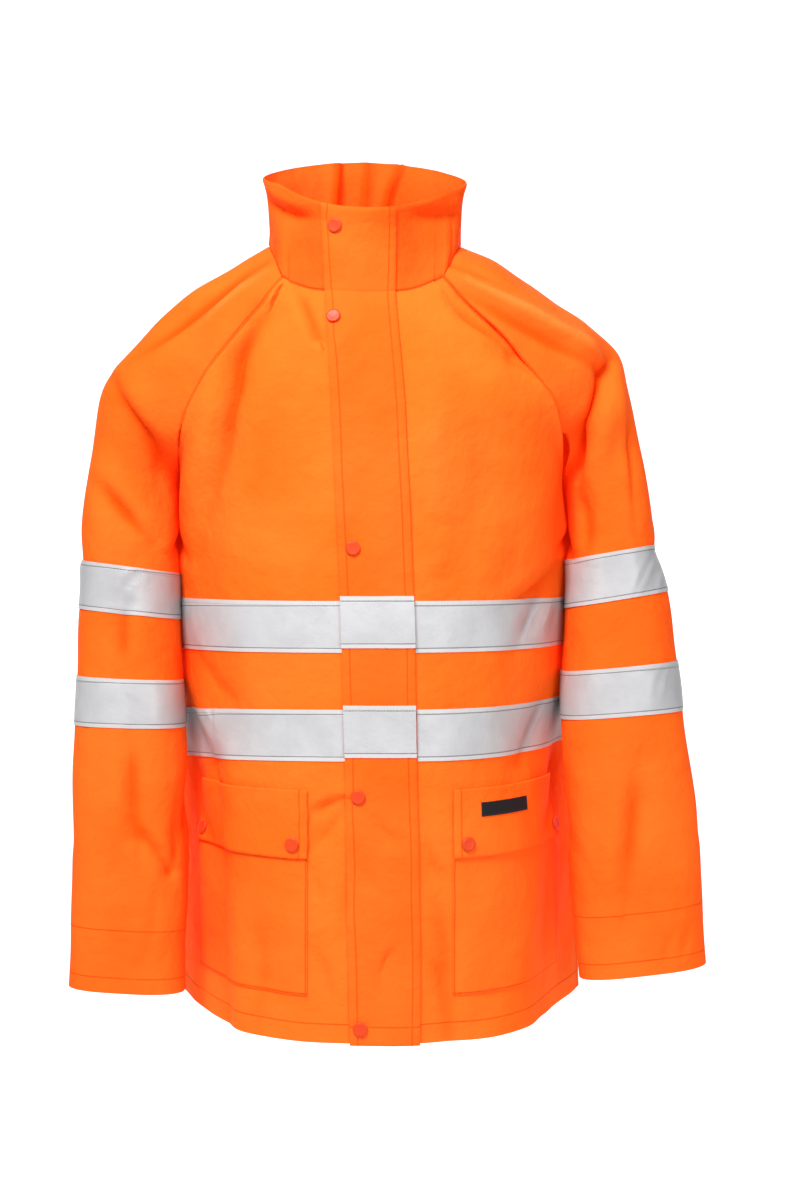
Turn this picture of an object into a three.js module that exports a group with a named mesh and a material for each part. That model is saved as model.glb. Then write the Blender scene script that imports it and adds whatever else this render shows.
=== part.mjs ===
// Hi-vis work jacket, hollow as worn, in millimetres with +Z up and the front towards -Y.
// The origin lies midway between the two sides of the neck seam, on the shoulder line.
// "Right" and "left" are the wearer's. Places along the body and the sleeves are counted
// in table rows from the neck seam: 0 is the neck, 7 the armpit, and more is lower down.
import * as THREE from 'three';

// Driving sizes
const CLOTH = 1.2;
const DOUBLE_CLOTH = 2.0;
const TAPE = 0.8;
const LABEL = 0.6;
const SEAM_GAP = 0.3;
const FLAP_STAND_OFF = 1.7;
const POCKET_WIDTH = 180;
const POCKET_STAND_OFF = 0.8;
const POCKET_FLAP_TOP_STAND_OFF = 1.8;
const POCKET_FLAP_LIFT = 1.8;
const POCKET_MOUTH_COVER = 0.45;
const TAPE_UNDER_FLAP = 8;
const FLAP_TAPE_RAISE = 4.5;
const LABEL_PLACE = { from: 106, to: 153, height: 16, fromTop: 0.28 };
const SNAP_PROFILE = [[0, 0], [7, 0], [6.7, 1.4], [4.2, 2.2], [0, 2.5]];
const SNAP_SIDES = 14;
const SNAP_STAND_OFF = 0.5;
const ARMPIT = 7;

// How many facets each stretch of the grids has
const FRONT_COLUMNS = 12;
const BACK_COLUMNS = 18;
const SLEEVE_COLUMNS = 16;
const COLLAR_ROWS = 4;
const FLAP_COLUMNS = 4;
const SHOULDER_STEPS = 10;
const BODY_STEPS = [2, 2, 2, 2, 2, 1, 3, 4, 2];
const SLEEVE_STEPS = [2, 1, 2, 2, 2, 2, 2, 2, 2];

// Places of the named levels in the tables below
const BODY_LEVEL = {
  upperTapeTop: 9, upperTapeFoot: 10, lowerTapeTop: 11, lowerTapeFoot: 12,
  pocketFlapTop: 13, pocketFlapFoot: 14, pocketFoot: 15, hem: 16,
};
const SLEEVE_LEVEL = { upperTapeTop: 9, upperTapeFoot: 10, lowerTapeTop: 11, lowerTapeFoot: 12, cuff: 16 };

// Centre line of the opening and of the back, from the neck seam down to the hem
const CENTRE = [
  { x: -13, front: -110, frontZ: -61, back: 75, backZ: 20 },
  { x: -12, front: -120, frontZ: -82, back: 94, backZ: -22 },
  { x: -10, front: -129, frontZ: -105, back: 108, backZ: -64 },
  { x: -9, front: -136, frontZ: -130, back: 117, backZ: -104 },
  { x: -7, front: -142, frontZ: -157, back: 123, backZ: -142 },
  { x: -5, front: -147, frontZ: -186, back: 127, backZ: -178 },
  { x: -3, front: -151, frontZ: -216, back: 129, backZ: -212 },
  { x: -1, front: -154, frontZ: -245, back: 130, backZ: -245 },
  { x: 2, front: -157, frontZ: -300, back: 129, backZ: -298 },
  { x: 5, front: -158, frontZ: -365.5, back: 127, backZ: -357 },
  { x: 7, front: -158, frontZ: -415.5, back: 126, backZ: -407 },
  { x: 8, front: -158, frontZ: -470, back: 126, backZ: -465 },
  { x: 9, front: -158, frontZ: -520, back: 126, backZ: -515 },
  { x: 9, front: -158, frontZ: -548, back: 126, backZ: -543 },
  { x: 10, front: -159, frontZ: -613, back: 127, backZ: -607 },
  { x: 11, front: -160, frontZ: -746, back: 129, backZ: -739 },
  { x: 12, front: -160, frontZ: -791, back: 130, backZ: -784 },
];

// Side seams from the armpit to the hem. The rises are how far each side hangs above the
// centre, the flares are the angles by which the front and the back widen past the seam,
// and square is how full the section's corners are.
const SIDE = [
  { right: -201.0, left: 195.5, y: 5, rightRise: -2, leftRise: -2, flare: 0, backFlare: 0, square: 0.60 },
  { right: -209.0, left: 204.0, y: 28, rightRise: 1, leftRise: 1, flare: 11, backFlare: 4, square: 0.60 },
  { right: -211.5, left: 206.5, y: 40, rightRise: 5, leftRise: 6, flare: 15, backFlare: 6, square: 0.60 },
  { right: -211.0, left: 207.0, y: 42, rightRise: 1, leftRise: 7, flare: 17, backFlare: 6, square: 0.61 },
  { right: -208.5, left: 207.5, y: 42, rightRise: -8, leftRise: 8, flare: 20, backFlare: 7, square: 0.62 },
  { right: -206.0, left: 208.5, y: 42, rightRise: -9, leftRise: 9, flare: 21, backFlare: 8, square: 0.63 },
  { right: -205.0, left: 209.0, y: 42, rightRise: 2, leftRise: 10, flare: 21, backFlare: 9, square: 0.64 },
  { right: -204.5, left: 210.5, y: 42, rightRise: 6, leftRise: 10, flare: 21, backFlare: 11, square: 0.66 },
  { right: -205.0, left: 214.0, y: 42, rightRise: 13, leftRise: 12, flare: 22, backFlare: 16, square: 0.69 },
  { right: -206.0, left: 216.0, y: 42, rightRise: 14, leftRise: 14, flare: 22, backFlare: 18, square: 0.70 },
];

// Raglan seams and the line over the arm, neck to armpit. The turns are the angles at which
// the front and the back panel meet the seam, from straight fore and aft to straight across.
// wrap, lead and trail shape the sleeve's own curve between its seams and the over-arm line.
const SHOULDER = {
  right: [
    { overX: -110, overY: -5, overZ: 3, foreX: -91, foreY: -85, foreZ: -42, aftX: -86, aftY: 50, aftZ: 15,
      foreTurn: 64, aftTurn: 58, wrap: 0.0, lead: 38, trail: 28, seamPull: 18 },
    { overX: -138, overY: -6, overZ: -17, foreX: -112, foreY: -97, foreZ: -70, aftX: -117, aftY: 78, aftZ: -22,
      foreTurn: 70, aftTurn: 64, wrap: 0.0, lead: 46, trail: 42, seamPull: 26 },
    { overX: -168, overY: -7, overZ: -35, foreX: -132, foreY: -105, foreZ: -97, aftX: -143, aftY: 96, aftZ: -64,
      foreTurn: 70, aftTurn: 68, wrap: 0.0, lead: 54, trail: 52, seamPull: 34 },
    { overX: -200, overY: -8, overZ: -58, foreX: -152, foreY: -104, foreZ: -124, aftX: -164, aftY: 104, aftZ: -106,
      foreTurn: 58, aftTurn: 62, wrap: 0.05, lead: 60, trail: 58, seamPull: 38 },
    { overX: -231, overY: -8, overZ: -86, foreX: -171, foreY: -96, foreZ: -151, aftX: -181, aftY: 101, aftZ: -147,
      foreTurn: 40, aftTurn: 46, wrap: 0.15, lead: 66, trail: 64, seamPull: 42 },
    { overX: -266, overY: -7, overZ: -122, foreX: -187, foreY: -83, foreZ: -180, aftX: -193, aftY: 84, aftZ: -186,
      foreTurn: 24, aftTurn: 28, wrap: 0.35, lead: 72, trail: 72, seamPull: 46 },
    { overX: -285, overY: -6, overZ: -160, foreX: -197, foreY: -58, foreZ: -213, aftX: -200, aftY: 42, aftZ: -220,
      foreTurn: 10, aftTurn: 10, wrap: 0.7, lead: 82, trail: 80, seamPull: 56 },
    { overX: -295, overY: -5, overZ: -222, foreX: -201, foreY: 5, foreZ: -247, aftX: -201, aftY: 5,
      aftZ: -247, foreTurn: 0, aftTurn: 0, wrap: 1, lead: 88, trail: 88, seamPull: 88 },
  ],
  left: [
    { overX: 91, overY: 0, overZ: 3, foreX: 71, foreY: -80, foreZ: -40, aftX: 66, aftY: 50, aftZ: 15,
      foreTurn: 62, aftTurn: 58, wrap: 0.0, lead: 38, trail: 26, seamPull: 18 },
    { overX: 122, overY: -3, overZ: -11, foreX: 99, foreY: -94, foreZ: -69, aftX: 98, aftY: 78, aftZ: -22,
      foreTurn: 68, aftTurn: 64, wrap: 0.0, lead: 46, trail: 42, seamPull: 26 },
    { overX: 154, overY: -5, overZ: -32, foreX: 127, foreY: -105, foreZ: -99, aftX: 127, aftY: 96, aftZ: -64,
      foreTurn: 68, aftTurn: 68, wrap: 0.0, lead: 54, trail: 52, seamPull: 34 },
    { overX: 188, overY: -6, overZ: -56, foreX: 147, foreY: -104, foreZ: -123, aftX: 150, aftY: 104, aftZ: -106,
      foreTurn: 58, aftTurn: 62, wrap: 0.05, lead: 60, trail: 58, seamPull: 38 },
    { overX: 220, overY: -6, overZ: -80, foreX: 167, foreY: -96, foreZ: -147, aftX: 169, aftY: 101, aftZ: -147,
      foreTurn: 40, aftTurn: 46, wrap: 0.15, lead: 66, trail: 64, seamPull: 42 },
    { overX: 253, overY: -5, overZ: -110, foreX: 184, foreY: -83, foreZ: -172, aftX: 184, aftY: 84, aftZ: -186,
      foreTurn: 24, aftTurn: 28, wrap: 0.35, lead: 72, trail: 72, seamPull: 46 },
    { overX: 264, overY: -5, overZ: -150, foreX: 193, foreY: -58, foreZ: -208, aftX: 192, aftY: 42, aftZ: -220,
      foreTurn: 10, aftTurn: 10, wrap: 0.7, lead: 82, trail: 80, seamPull: 56 },
    { overX: 275, overY: -5, overZ: -205, foreX: 195.5, foreY: 5, foreZ: -247, aftX: 195.5, aftY: 5, aftZ: -247,
      foreTurn: 0, aftTurn: 0, wrap: 1, lead: 88, trail: 88, seamPull: 88 },
  ],
};

// Sleeves below the armpit: the over-arm and the underarm edge of each ring, and its half depth
const SLEEVE = {
  right: [
    { overX: -295, overY: -5, overZ: -222, underX: -201, underY: 5, underZ: -247, depth: 66 },
    { overX: -301, overY: -8, overZ: -272, underX: -206, underY: -8, underZ: -287, depth: 68 },
    { overX: -303, overY: -9, overZ: -323, underX: -205, underY: -11, underZ: -337, depth: 67 },
    { overX: -304, overY: -13, overZ: -373, underX: -203, underY: -15, underZ: -384, depth: 65 },
    { overX: -304.5, overY: -22, overZ: -441, underX: -197, underY: -24, underZ: -446, depth: 62 },
    { overX: -306, overY: -30, overZ: -491, underX: -193, underY: -32, underZ: -494, depth: 60 },
    { overX: -306, overY: -40, overZ: -560, underX: -190.5, underY: -42, underZ: -560, depth: 56 },
    { overX: -306, overY: -50, overZ: -640, underX: -189.5, underY: -51, underZ: -640, depth: 50 },
    { overX: -305.5, overY: -58, overZ: -710, underX: -189, underY: -58, underZ: -713, depth: 44 },
    { overX: -306.5, overY: -62, overZ: -752, underX: -189, underY: -62, underZ: -758, depth: 41 },
  ],
  left: [
    { overX: 275, overY: -5, overZ: -205, underX: 195.5, underY: 5, underZ: -247, depth: 66 },
    { overX: 285, overY: -8, overZ: -258, underX: 201.5, underY: -8, underZ: -285, depth: 68 },
    { overX: 292, overY: -9, overZ: -307, underX: 201.5, underY: -11, underZ: -323, depth: 67 },
    { overX: 303, overY: -13, overZ: -355, underX: 199, underY: -15, underZ: -373, depth: 65 },
    { overX: 311, overY: -22, overZ: -426, underX: 195, underY: -24, underZ: -437, depth: 62 },
    { overX: 318, overY: -30, overZ: -476, underX: 192.5, underY: -32, underZ: -486, depth: 60 },
    { overX: 326, overY: -40, overZ: -550, underX: 194.5, underY: -42, underZ: -552, depth: 56 },
    { overX: 332, overY: -50, overZ: -630, underX: 200, underY: -51, underZ: -632, depth: 50 },
    { overX: 335, overY: -58, overZ: -692, underX: 207.5, underY: -58, underZ: -702, depth: 44 },
    { overX: 336, overY: -62, overZ: -729, underX: 212, underY: -62, underZ: -745, depth: 41 },
  ],
};

// Upper edge of the collar at the ends of the pieces that it is sewn to, all the way round
const RIM = [
  { x: -14, y: -96, z: 23 },
  { x: -96, y: -56, z: 51 },
  { x: -85, y: 42, z: 97 },
  { x: 66, y: 42, z: 94 },
  { x: 80, y: -46, z: 52 },
  { x: -14, y: -96, z: 23 },
];
const RIM_SIDES = { right: { x: -115, y: -8, z: 76 }, back: { x: -10, y: 66, z: 107 }, left: { x: 97, y: -8, z: 71 } };

// Edges of the storm flap, by height
const FLAP_EDGES = [
  { z: 40, right: -51, left: 22 },
  { z: -61, right: -47, left: 22 },
  { z: -175, right: -39, left: 32 },
  { z: -285, right: -34, left: 37 },
  { z: -365, right: -30, left: 40 },
  { z: -520, right: -26, left: 43 },
  { z: -690, right: -23, left: 46 },
  { z: -800, right: -21, left: 46 },
];
const FLAP_OVERHANG = 1.5;

// Snaps down the storm flap, and the fronts' pocket snaps by distance along their flap
const FLAP_SNAPS = [
  { x: -37, z: 5 }, { x: -38, z: -87 }, { x: -18, z: -315 }, { x: -13, z: -554 }, { x: -11, z: -776 },
];
const POCKET_SNAPS = [{ along: 0.075, down: 0.85 }, { along: 0.92, down: 0.85 }];
const POCKET_EDGE = { right: -62, left: 78 };

// Largest folds as seen from the front: a trough along a line of points across and up,
// how deep and how wide it is, negative depths being ridges
const FOLDS = [
  { line: [[-262, -143], [-253, -168], [-223, -208], [-200, -238]], depth: 6, width: 15 },
  { line: [[-284, -246], [-261, -266], [-238, -292], [-212, -312]], depth: 5, width: 16 },
  { line: [[-243, -506], [-243, -584], [-217, -621]], depth: 4, width: 15 },
  { line: [[246, -120], [224, -176], [213, -197], [197, -238]], depth: 6, width: 16 },
  { line: [[256, -173], [260, -279]], depth: 4, width: 12 },
  { line: [[262, -545], [252, -657]], depth: 4, width: 15 },
  { line: [[-128, -105], [-140, -148], [-153, -216], [-163, -266], [-172, -315]], depth: 5, width: 14 },
  { line: [[-66, -62], [-52, -106]], depth: 3, width: 12 },
  { line: [[81, -62], [126, -105], [145, -131]], depth: 3.5, width: 12 },
  { line: [[-90, -66], [-150, -110], [-185, -150]], depth: -3, width: 14 },
  { line: [[100, -62], [160, -100], [186, -140]], depth: -3, width: 14 },
];
const BACK_FOLDS = [
  { line: [[-150, -110], [-120, -210], [-128, -330]], depth: 5, width: 16 },
  { line: [[140, -110], [118, -200], [124, -310]], depth: 5, width: 16 },
  { line: [[-40, -430], [-20, -560], [-32, -700]], depth: 4, width: 20 },
  { line: [[70, -480], [88, -600], [80, -740]], depth: 4, width: 20 },
  { line: [[-252, -200], [-225, -240]], depth: 5, width: 14 },
  { line: [[240, -190], [215, -235]], depth: 5, width: 14 },
];

const vector = (x, y, z) => new THREE.Vector3(x, y, z);
const mix = (a, b, f) => a + (b - a) * f;
const radians = (degrees) => degrees * Math.PI / 180;

// A smooth curve through each column of a table, read at a place counted in rows
function between(table, place) {
  const i = Math.min(Math.max(Math.floor(place), 0), table.length - 2);
  const f = place - i;
  const row = {};
  for (const key of Object.keys(table[0])) {
    const at = (k) => table[Math.min(Math.max(k, 0), table.length - 1)][key];
    const [a, b, c, d] = [at(i - 1), at(i), at(i + 1), at(i + 2)];
    row[key] = b + 0.5 * f * (c - a + f * (2 * a - 5 * b + 4 * c - d + f * (3 * (b - c) + d - a)));
  }
  return row;
}

const curve = (start, startPull, endPull, end) =>
  new THREE.CubicBezierCurve3(start, start.clone().add(startPull), end.clone().add(endPull), end);

// Where the front (fore) or back (aft) panel ends at a place: its point and its turn
function panelEdge(side, place, aft) {
  if (place <= ARMPIT) {
    const row = between(SHOULDER[side], place);
    return aft
      ? { point: vector(row.aftX, row.aftY, row.aftZ), turn: row.aftTurn, square: SIDE[0].square }
      : { point: vector(row.foreX, row.foreY, row.foreZ), turn: row.foreTurn, square: SIDE[0].square };
  }
  const row = between(SIDE, place - ARMPIT);
  const height = between(CENTRE, place).frontZ + row[`${side}Rise`];
  return { point: vector(row[side], row.y, height), turn: aft ? -row.backFlare : row.flare, square: row.square };
}

// Half a row of the body, from the centre line to the side or raglan seam
function halfRow(side, place, aft) {
  const outward = side === 'right' ? -1 : 1;
  const centre = between(CENTRE, place);
  const edge = panelEdge(side, place, aft);
  const start = aft ? vector(centre.x, centre.back, centre.backZ) : vector(centre.x, centre.front, centre.frontZ);
  const across = Math.abs(edge.point.x - start.x);
  const deep = Math.abs(edge.point.y - start.y);
  const turn = radians(edge.turn);
  const reach = edge.square * (deep * Math.cos(turn) + 0.5 * across * Math.abs(Math.sin(turn)));
  const pull = vector(-outward * Math.sin(turn), (aft ? 1 : -1) * Math.cos(turn), 0).multiplyScalar(reach);
  const level = curve(start, vector(outward * edge.square * across, 0, 0), pull, edge.point);
  return (t) => {
    const point = level.getPoint(t);
    point.z = mix(start.z, edge.point.z, t * t);
    return point;
  };
}

// A row of the sleeve, from its front seam over the arm to its back seam
function sleeveRow(side, place) {
  let over, fore, aft, lead, trail, forePull, aftPull, foreDirection, aftDirection;
  if (place <= ARMPIT) {
    const row = between(SHOULDER[side], place);
    over = vector(row.overX, row.overY, row.overZ);
    fore = vector(row.foreX, row.foreY, row.foreZ);
    aft = vector(row.aftX, row.aftY, row.aftZ);
    [lead, trail, forePull, aftPull] = [row.lead, row.trail, row.seamPull, row.seamPull];
    const wrapped = (seam, sign) => {
      const rise = vector(over.x - seam.x, 0, over.z - seam.z).normalize();
      return rise.lerp(vector(0, sign, 0), row.wrap).normalize();
    };
    foreDirection = wrapped(fore, -1);
    aftDirection = wrapped(aft, 1);
  } else {
    const row = between(SLEEVE[side], place - ARMPIT);
    over = vector(row.overX, row.overY, row.overZ);
    fore = vector(row.underX, row.underY, row.underZ);
    aft = fore;
    lead = (row.depth + (row.underY - row.overY) / 2) * 4 / 3;
    trail = (row.depth - (row.underY - row.overY) / 2) * 4 / 3;
    forePull = lead;
    aftPull = trail;
    foreDirection = vector(0, -1, 0);
    aftDirection = vector(0, 1, 0);
  }
  const front = curve(fore, foreDirection.multiplyScalar(forePull), vector(0, -lead, 0), over);
  const back = curve(over, vector(0, trail, 0), aftDirection.multiplyScalar(aftPull), aft);
  return (t) => (t < 0.5 ? front.getPoint(2 * t) : back.getPoint(2 * t - 1));
}

// Points at equal steps along a row
function evenly(row, columns) {
  const fine = 64;
  const points = Array.from({ length: fine + 1 }, (_, k) => row(k / fine));
  const lengths = [0];
  for (let k = 1; k <= fine; k += 1) lengths.push(lengths[k - 1] + points[k].distanceTo(points[k - 1]));
  return Array.from({ length: columns + 1 }, (_, c) => {
    const wanted = lengths[fine] * c / columns;
    let k = 1;
    while (k < fine && lengths[k] < wanted) k += 1;
    const f = (wanted - lengths[k - 1]) / (lengths[k] - lengths[k - 1]);
    return points[k - 1].clone().lerp(points[k], f);
  });
}

// Places of the rows from the neck down: an even run to the armpit, then steps level by level
function placesDown(steps) {
  const places = Array.from({ length: SHOULDER_STEPS + 1 }, (_, k) => ARMPIT * k / SHOULDER_STEPS);
  steps.forEach((count, level) => {
    for (let k = 1; k <= count; k += 1) places.push(ARMPIT + level + k / count);
  });
  return places;
}

// A panel is a grid of points on the outer face. Seen from outside, rows run down and
// columns run to the left, so that its normals point out.
function panelOf(places, points) {
  const panel = { places, points };
  panel.normals = normalsOf(points);
  return panel;
}

function normalsOf(points) {
  const last = { row: points.length - 1, column: points[0].length - 1 };
  return points.map((row, i) => row.map((_, j) => {
    const along = points[i][Math.min(j + 1, last.column)].clone().sub(points[i][Math.max(j - 1, 0)]);
    const down = points[Math.min(i + 1, last.row)][j].clone().sub(points[Math.max(i - 1, 0)][j]);
    return along.cross(down).normalize();
  }));
}

// Panels that meet at a seam share their normals there, unless they face each other
function weld(panels) {
  const shared = new Map();
  const visit = (action) => panels.forEach((panel) => panel.points.forEach((row, i) => row.forEach((point, j) => {
    const onEdge = i === 0 || j === 0 || i === panel.points.length - 1 || j === row.length - 1;
    if (onEdge) action(panel.normals[i][j], point.toArray().map((v) => v.toFixed(2)).join());
  })));
  visit((normal, key) => {
    if (!shared.has(key)) shared.set(key, []);
    shared.get(key).push(normal.clone());
  });
  visit((normal, key) => {
    const sum = vector(0, 0, 0);
    for (const other of shared.get(key)) if (other.dot(normal) > 0.3) sum.add(other);
    if (sum.lengthSq() > 0) normal.copy(sum.normalize());
  });
}

// How far the folds sink the cloth at a point that faces the front or the back
function sink(point, normal) {
  const facing = THREE.MathUtils.smoothstep(Math.abs(normal.y), 0.1, 0.6);
  const folds = normal.y < 0 ? FOLDS : BACK_FOLDS;
  let depth = 0;
  for (const fold of folds) {
    let nearest = Infinity;
    for (let k = 1; k < fold.line.length; k += 1) {
      const [ax, az] = fold.line[k - 1];
      const [bx, bz] = fold.line[k];
      const span = (bx - ax) ** 2 + (bz - az) ** 2;
      const f = THREE.MathUtils.clamp(((point.x - ax) * (bx - ax) + (point.z - az) * (bz - az)) / span, 0, 1);
      nearest = Math.min(nearest, Math.hypot(point.x - mix(ax, bx, f), point.z - mix(az, bz, f)));
    }
    depth += fold.depth * Math.exp(-((nearest / fold.width) ** 2));
  }
  return depth * facing;
}

function fold(panels) {
  for (const panel of panels) {
    panel.points.forEach((row, i) => row.forEach((point, j) => {
      const normal = panel.normals[i][j];
      point.addScaledVector(normal, -sink(point, normal));
    }));
    panel.normals = normalsOf(panel.points);
  }
}

// A point or normal of a panel between its rows and columns, on the facet itself
function onFacet(grid, row, column) {
  const i = Math.min(Math.max(Math.floor(row), 0), grid.length - 2);
  const j = Math.min(Math.max(Math.floor(column), 0), grid[0].length - 2);
  const [down, along] = [row - i, column - j];
  const corner = along >= down ? grid[i][j + 1] : grid[i + 1][j];
  return grid[i][j].clone()
    .addScaledVector(corner.clone().sub(grid[i][j]), Math.max(along, down))
    .addScaledVector(grid[i + 1][j + 1].clone().sub(corner), Math.min(along, down));
}

// The column at which a row passes a place across the front
function columnAt(panel, row, x) {
  const columns = panel.points[0].length - 1;
  for (let j = 0; j < columns; j += 1) {
    const a = onFacet(panel.points, row, j).x;
    const b = onFacet(panel.points, row, j + 1).x;
    if ((a - x) * (b - x) <= 0 && a !== b) return j + (x - a) / (b - a);
  }
  return 0;
}

// A piece that lies on a panel: its points moved out by a stand-off that may grow downwards
function layOn(panel, rows, columnsOf, standOff) {
  const points = [];
  const normals = [];
  rows.forEach((row, i) => {
    const normalRow = columnsOf(row).map((column) => onFacet(panel.normals, row, column).normalize());
    const lift = standOff(rows.length > 1 ? i / (rows.length - 1) : 0);
    points.push(columnsOf(row).map((column, j) => onFacet(panel.points, row, column).addScaledVector(normalRow[j], lift)));
    normals.push(normalRow);
  });
  return { points, normals };
}

// A closed wall: the outer face, the inner face a thickness below it, and the strip round
// its edge, which is drawn back from the seams by half a gap
function wall(panel, thickness, gap = SEAM_GAP) {
  const { points, normals } = panel;
  const [rows, columns] = [points.length, points[0].length];
  const outer = points.map((row, i) => row.map((point, j) => {
    const moved = point.clone();
    const drawTo = (k, m) => moved.add(points[k][m].clone().sub(point).setLength(gap / 2));
    if (i === 0) drawTo(1, j);
    if (i === rows - 1) drawTo(rows - 2, j);
    if (j === 0) drawTo(i, 1);
    if (j === columns - 1) drawTo(i, columns - 2);
    return moved;
  }));
  const inner = outer.map((row, i) => row.map((point, j) => point.clone().addScaledVector(normals[i][j], -thickness)));
  const positions = [...outer.flat(), ...inner.flat()].flatMap((point) => point.toArray());
  const top = (i, j) => i * columns + j;
  const under = (i, j) => rows * columns + top(i, j);
  const faces = [];
  for (let i = 0; i < rows - 1; i += 1) {
    for (let j = 0; j < columns - 1; j += 1) {
      faces.push(top(i, j), top(i, j + 1), top(i + 1, j + 1), top(i, j), top(i + 1, j + 1), top(i + 1, j));
      faces.push(under(i, j), under(i + 1, j + 1), under(i, j + 1), under(i, j), under(i + 1, j), under(i + 1, j + 1));
    }
  }
  const edge = [];
  for (let j = 0; j < columns - 1; j += 1) edge.push([0, j]);
  for (let i = 0; i < rows - 1; i += 1) edge.push([i, columns - 1]);
  for (let j = columns - 1; j > 0; j -= 1) edge.push([rows - 1, j]);
  for (let i = rows - 1; i > 0; i -= 1) edge.push([i, 0]);
  edge.forEach((from, k) => {
    const to = edge[(k + 1) % edge.length];
    faces.push(top(...from), under(...from), under(...to), top(...from), under(...to), top(...to));
  });
  const geometry = new THREE.BufferGeometry();
  geometry.setAttribute('position', new THREE.Float32BufferAttribute(positions, 3));
  geometry.setIndex(faces);
  geometry.computeVertexNormals();
  return geometry;
}

// Materials
const orange = new THREE.MeshStandardMaterial({ color: 0xff7314, roughness: 0.62, metalness: 0 });
const silver = new THREE.MeshStandardMaterial({ color: 0xdadade, roughness: 0.42, metalness: 0.1 });
const snapPlastic = new THREE.MeshStandardMaterial({ color: 0xfc6a3a, roughness: 0.35, metalness: 0 });
const black = new THREE.MeshStandardMaterial({ color: 0x282628, roughness: 0.8, metalness: 0 });

const jacket = new THREE.Group();

function add(name, geometry, material) {
  const mesh = new THREE.Mesh(geometry, material);
  mesh.name = name;
  jacket.add(mesh);
  return mesh;
}

// The cut panels, each laid out from its tables
const bodyPlaces = placesDown(BODY_STEPS);
const sleevePlaces = placesDown(SLEEVE_STEPS);
const frontRows = (side) => bodyPlaces.map((place) => {
  const row = evenly(halfRow(side, place, false), FRONT_COLUMNS);
  return side === 'right' ? row : row.reverse();
});
const backRows = bodyPlaces.map((place) => {
  const half = (side) => evenly(halfRow(side, place, true), BACK_COLUMNS / 2);
  return [...half('right').reverse(), ...half('left').slice(1)];
});
const sleeveRows = (side) => sleevePlaces.map((place) => {
  const row = evenly(sleeveRow(side, place), SLEEVE_COLUMNS);
  return side === 'right' ? row : row.reverse();
});

const panels = {
  front_right: panelOf(bodyPlaces, frontRows('right')),
  front_left: panelOf(bodyPlaces, frontRows('left')),
  back: panelOf(bodyPlaces, backRows),
  sleeve_right: panelOf(sleevePlaces, sleeveRows('right')),
  sleeve_left: panelOf(sleevePlaces, sleeveRows('left')),
};
weld(Object.values(panels));
fold(Object.values(panels));

// The collar stands on the neck edges of all five panels, from its rim down to the seam
function collarPoints() {
  const order = ['front_right', 'sleeve_right', 'back', 'sleeve_left', 'front_left'];
  const neck = [];
  const rim = [];
  order.forEach((name, k) => {
    const edge = panels[name].points[0];
    const [from, to] = [RIM[k], RIM[k + 1]];
    const middle = { sleeve_right: RIM_SIDES.right, back: RIM_SIDES.back, sleeve_left: RIM_SIDES.left }[name];
    edge.forEach((point, j) => {
      if (k > 0 && j === 0) return;
      const f = j / (edge.length - 1);
      const straight = vector(mix(from.x, to.x, f), mix(from.y, to.y, f), mix(from.z, to.z, f));
      if (middle) {
        const bow = 4 * f * (1 - f);
        straight.x += bow * (middle.x - (from.x + to.x) / 2);
        straight.y += bow * (middle.y - (from.y + to.y) / 2);
        straight.z += bow * (middle.z - (from.z + to.z) / 2);
      } else {
        const towardsFront = name === 'front_right' ? f : 1 - f;
        straight.y -= 52 * towardsFront * (1 - towardsFront);
        straight.z -= 34 * towardsFront * (1 - towardsFront);
      }
      neck.push(point.clone());
      rim.push(straight);
    });
  });
  return Array.from({ length: COLLAR_ROWS + 1 }, (_, i) => rim.map((point, j) => point.clone().lerp(neck[j], i / COLLAR_ROWS)));
}
panels.collar = panelOf([], collarPoints());
weld(Object.values(panels));

for (const [name, panel] of Object.entries(panels)) {
  const isCollar = name === 'collar';
  add(name, wall(panel, isCollar ? DOUBLE_CLOTH : CLOTH, isCollar ? 2 * SEAM_GAP : SEAM_GAP), orange);
}

// The row of a panel that lies at a named level
const rowOf = (panel, place) => panel.places.indexOf(place);

function rowsBetween(panel, top, foot) {
  const rows = [];
  for (let row = rowOf(panel, top); row <= rowOf(panel, foot); row += 1) rows.push(row);
  return rows;
}

// Both fronts and the collar above them, as one grid for the storm flap to lie on
function openingGrid() {
  const across = (left, right) => [...left, ...right.slice(1)];
  const collar = { left: -FRONT_COLUMNS - 1, right: FRONT_COLUMNS + 1 };
  const upper = (grid) => grid.slice(0, -1).map((row) => across(row.slice(collar.left), row.slice(0, collar.right)));
  const lower = (key) => panels.front_left[key].map((row, i) => across(row, panels.front_right[key][i]));
  const points = [...upper(panels.collar.points), ...lower('points')];
  return { points, normals: normalsOf(points) };
}

function flapEdge(side, z) {
  let k = 1;
  while (k < FLAP_EDGES.length - 1 && FLAP_EDGES[k].z > z) k += 1;
  const [above, below] = [FLAP_EDGES[k - 1], FLAP_EDGES[k]];
  return mix(above[side], below[side], THREE.MathUtils.clamp((above.z - z) / (above.z - below.z), 0, 1));
}

const opening = openingGrid();
const flapColumns = (row) => {
  const z = onFacet(opening.points, row, FRONT_COLUMNS).z;
  const from = columnAt(opening, row, flapEdge('left', z));
  const to = columnAt(opening, row, flapEdge('right', z));
  return Array.from({ length: FLAP_COLUMNS + 1 }, (_, k) => mix(from, to, k / FLAP_COLUMNS));
};
const stormFlap = layOn(opening, opening.points.map((_, i) => i), flapColumns, () => FLAP_STAND_OFF + DOUBLE_CLOTH);
for (const point of stormFlap.points.at(-1)) point.z -= FLAP_OVERHANG;
add('storm_flap', wall(stormFlap, DOUBLE_CLOTH), orange);

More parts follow.
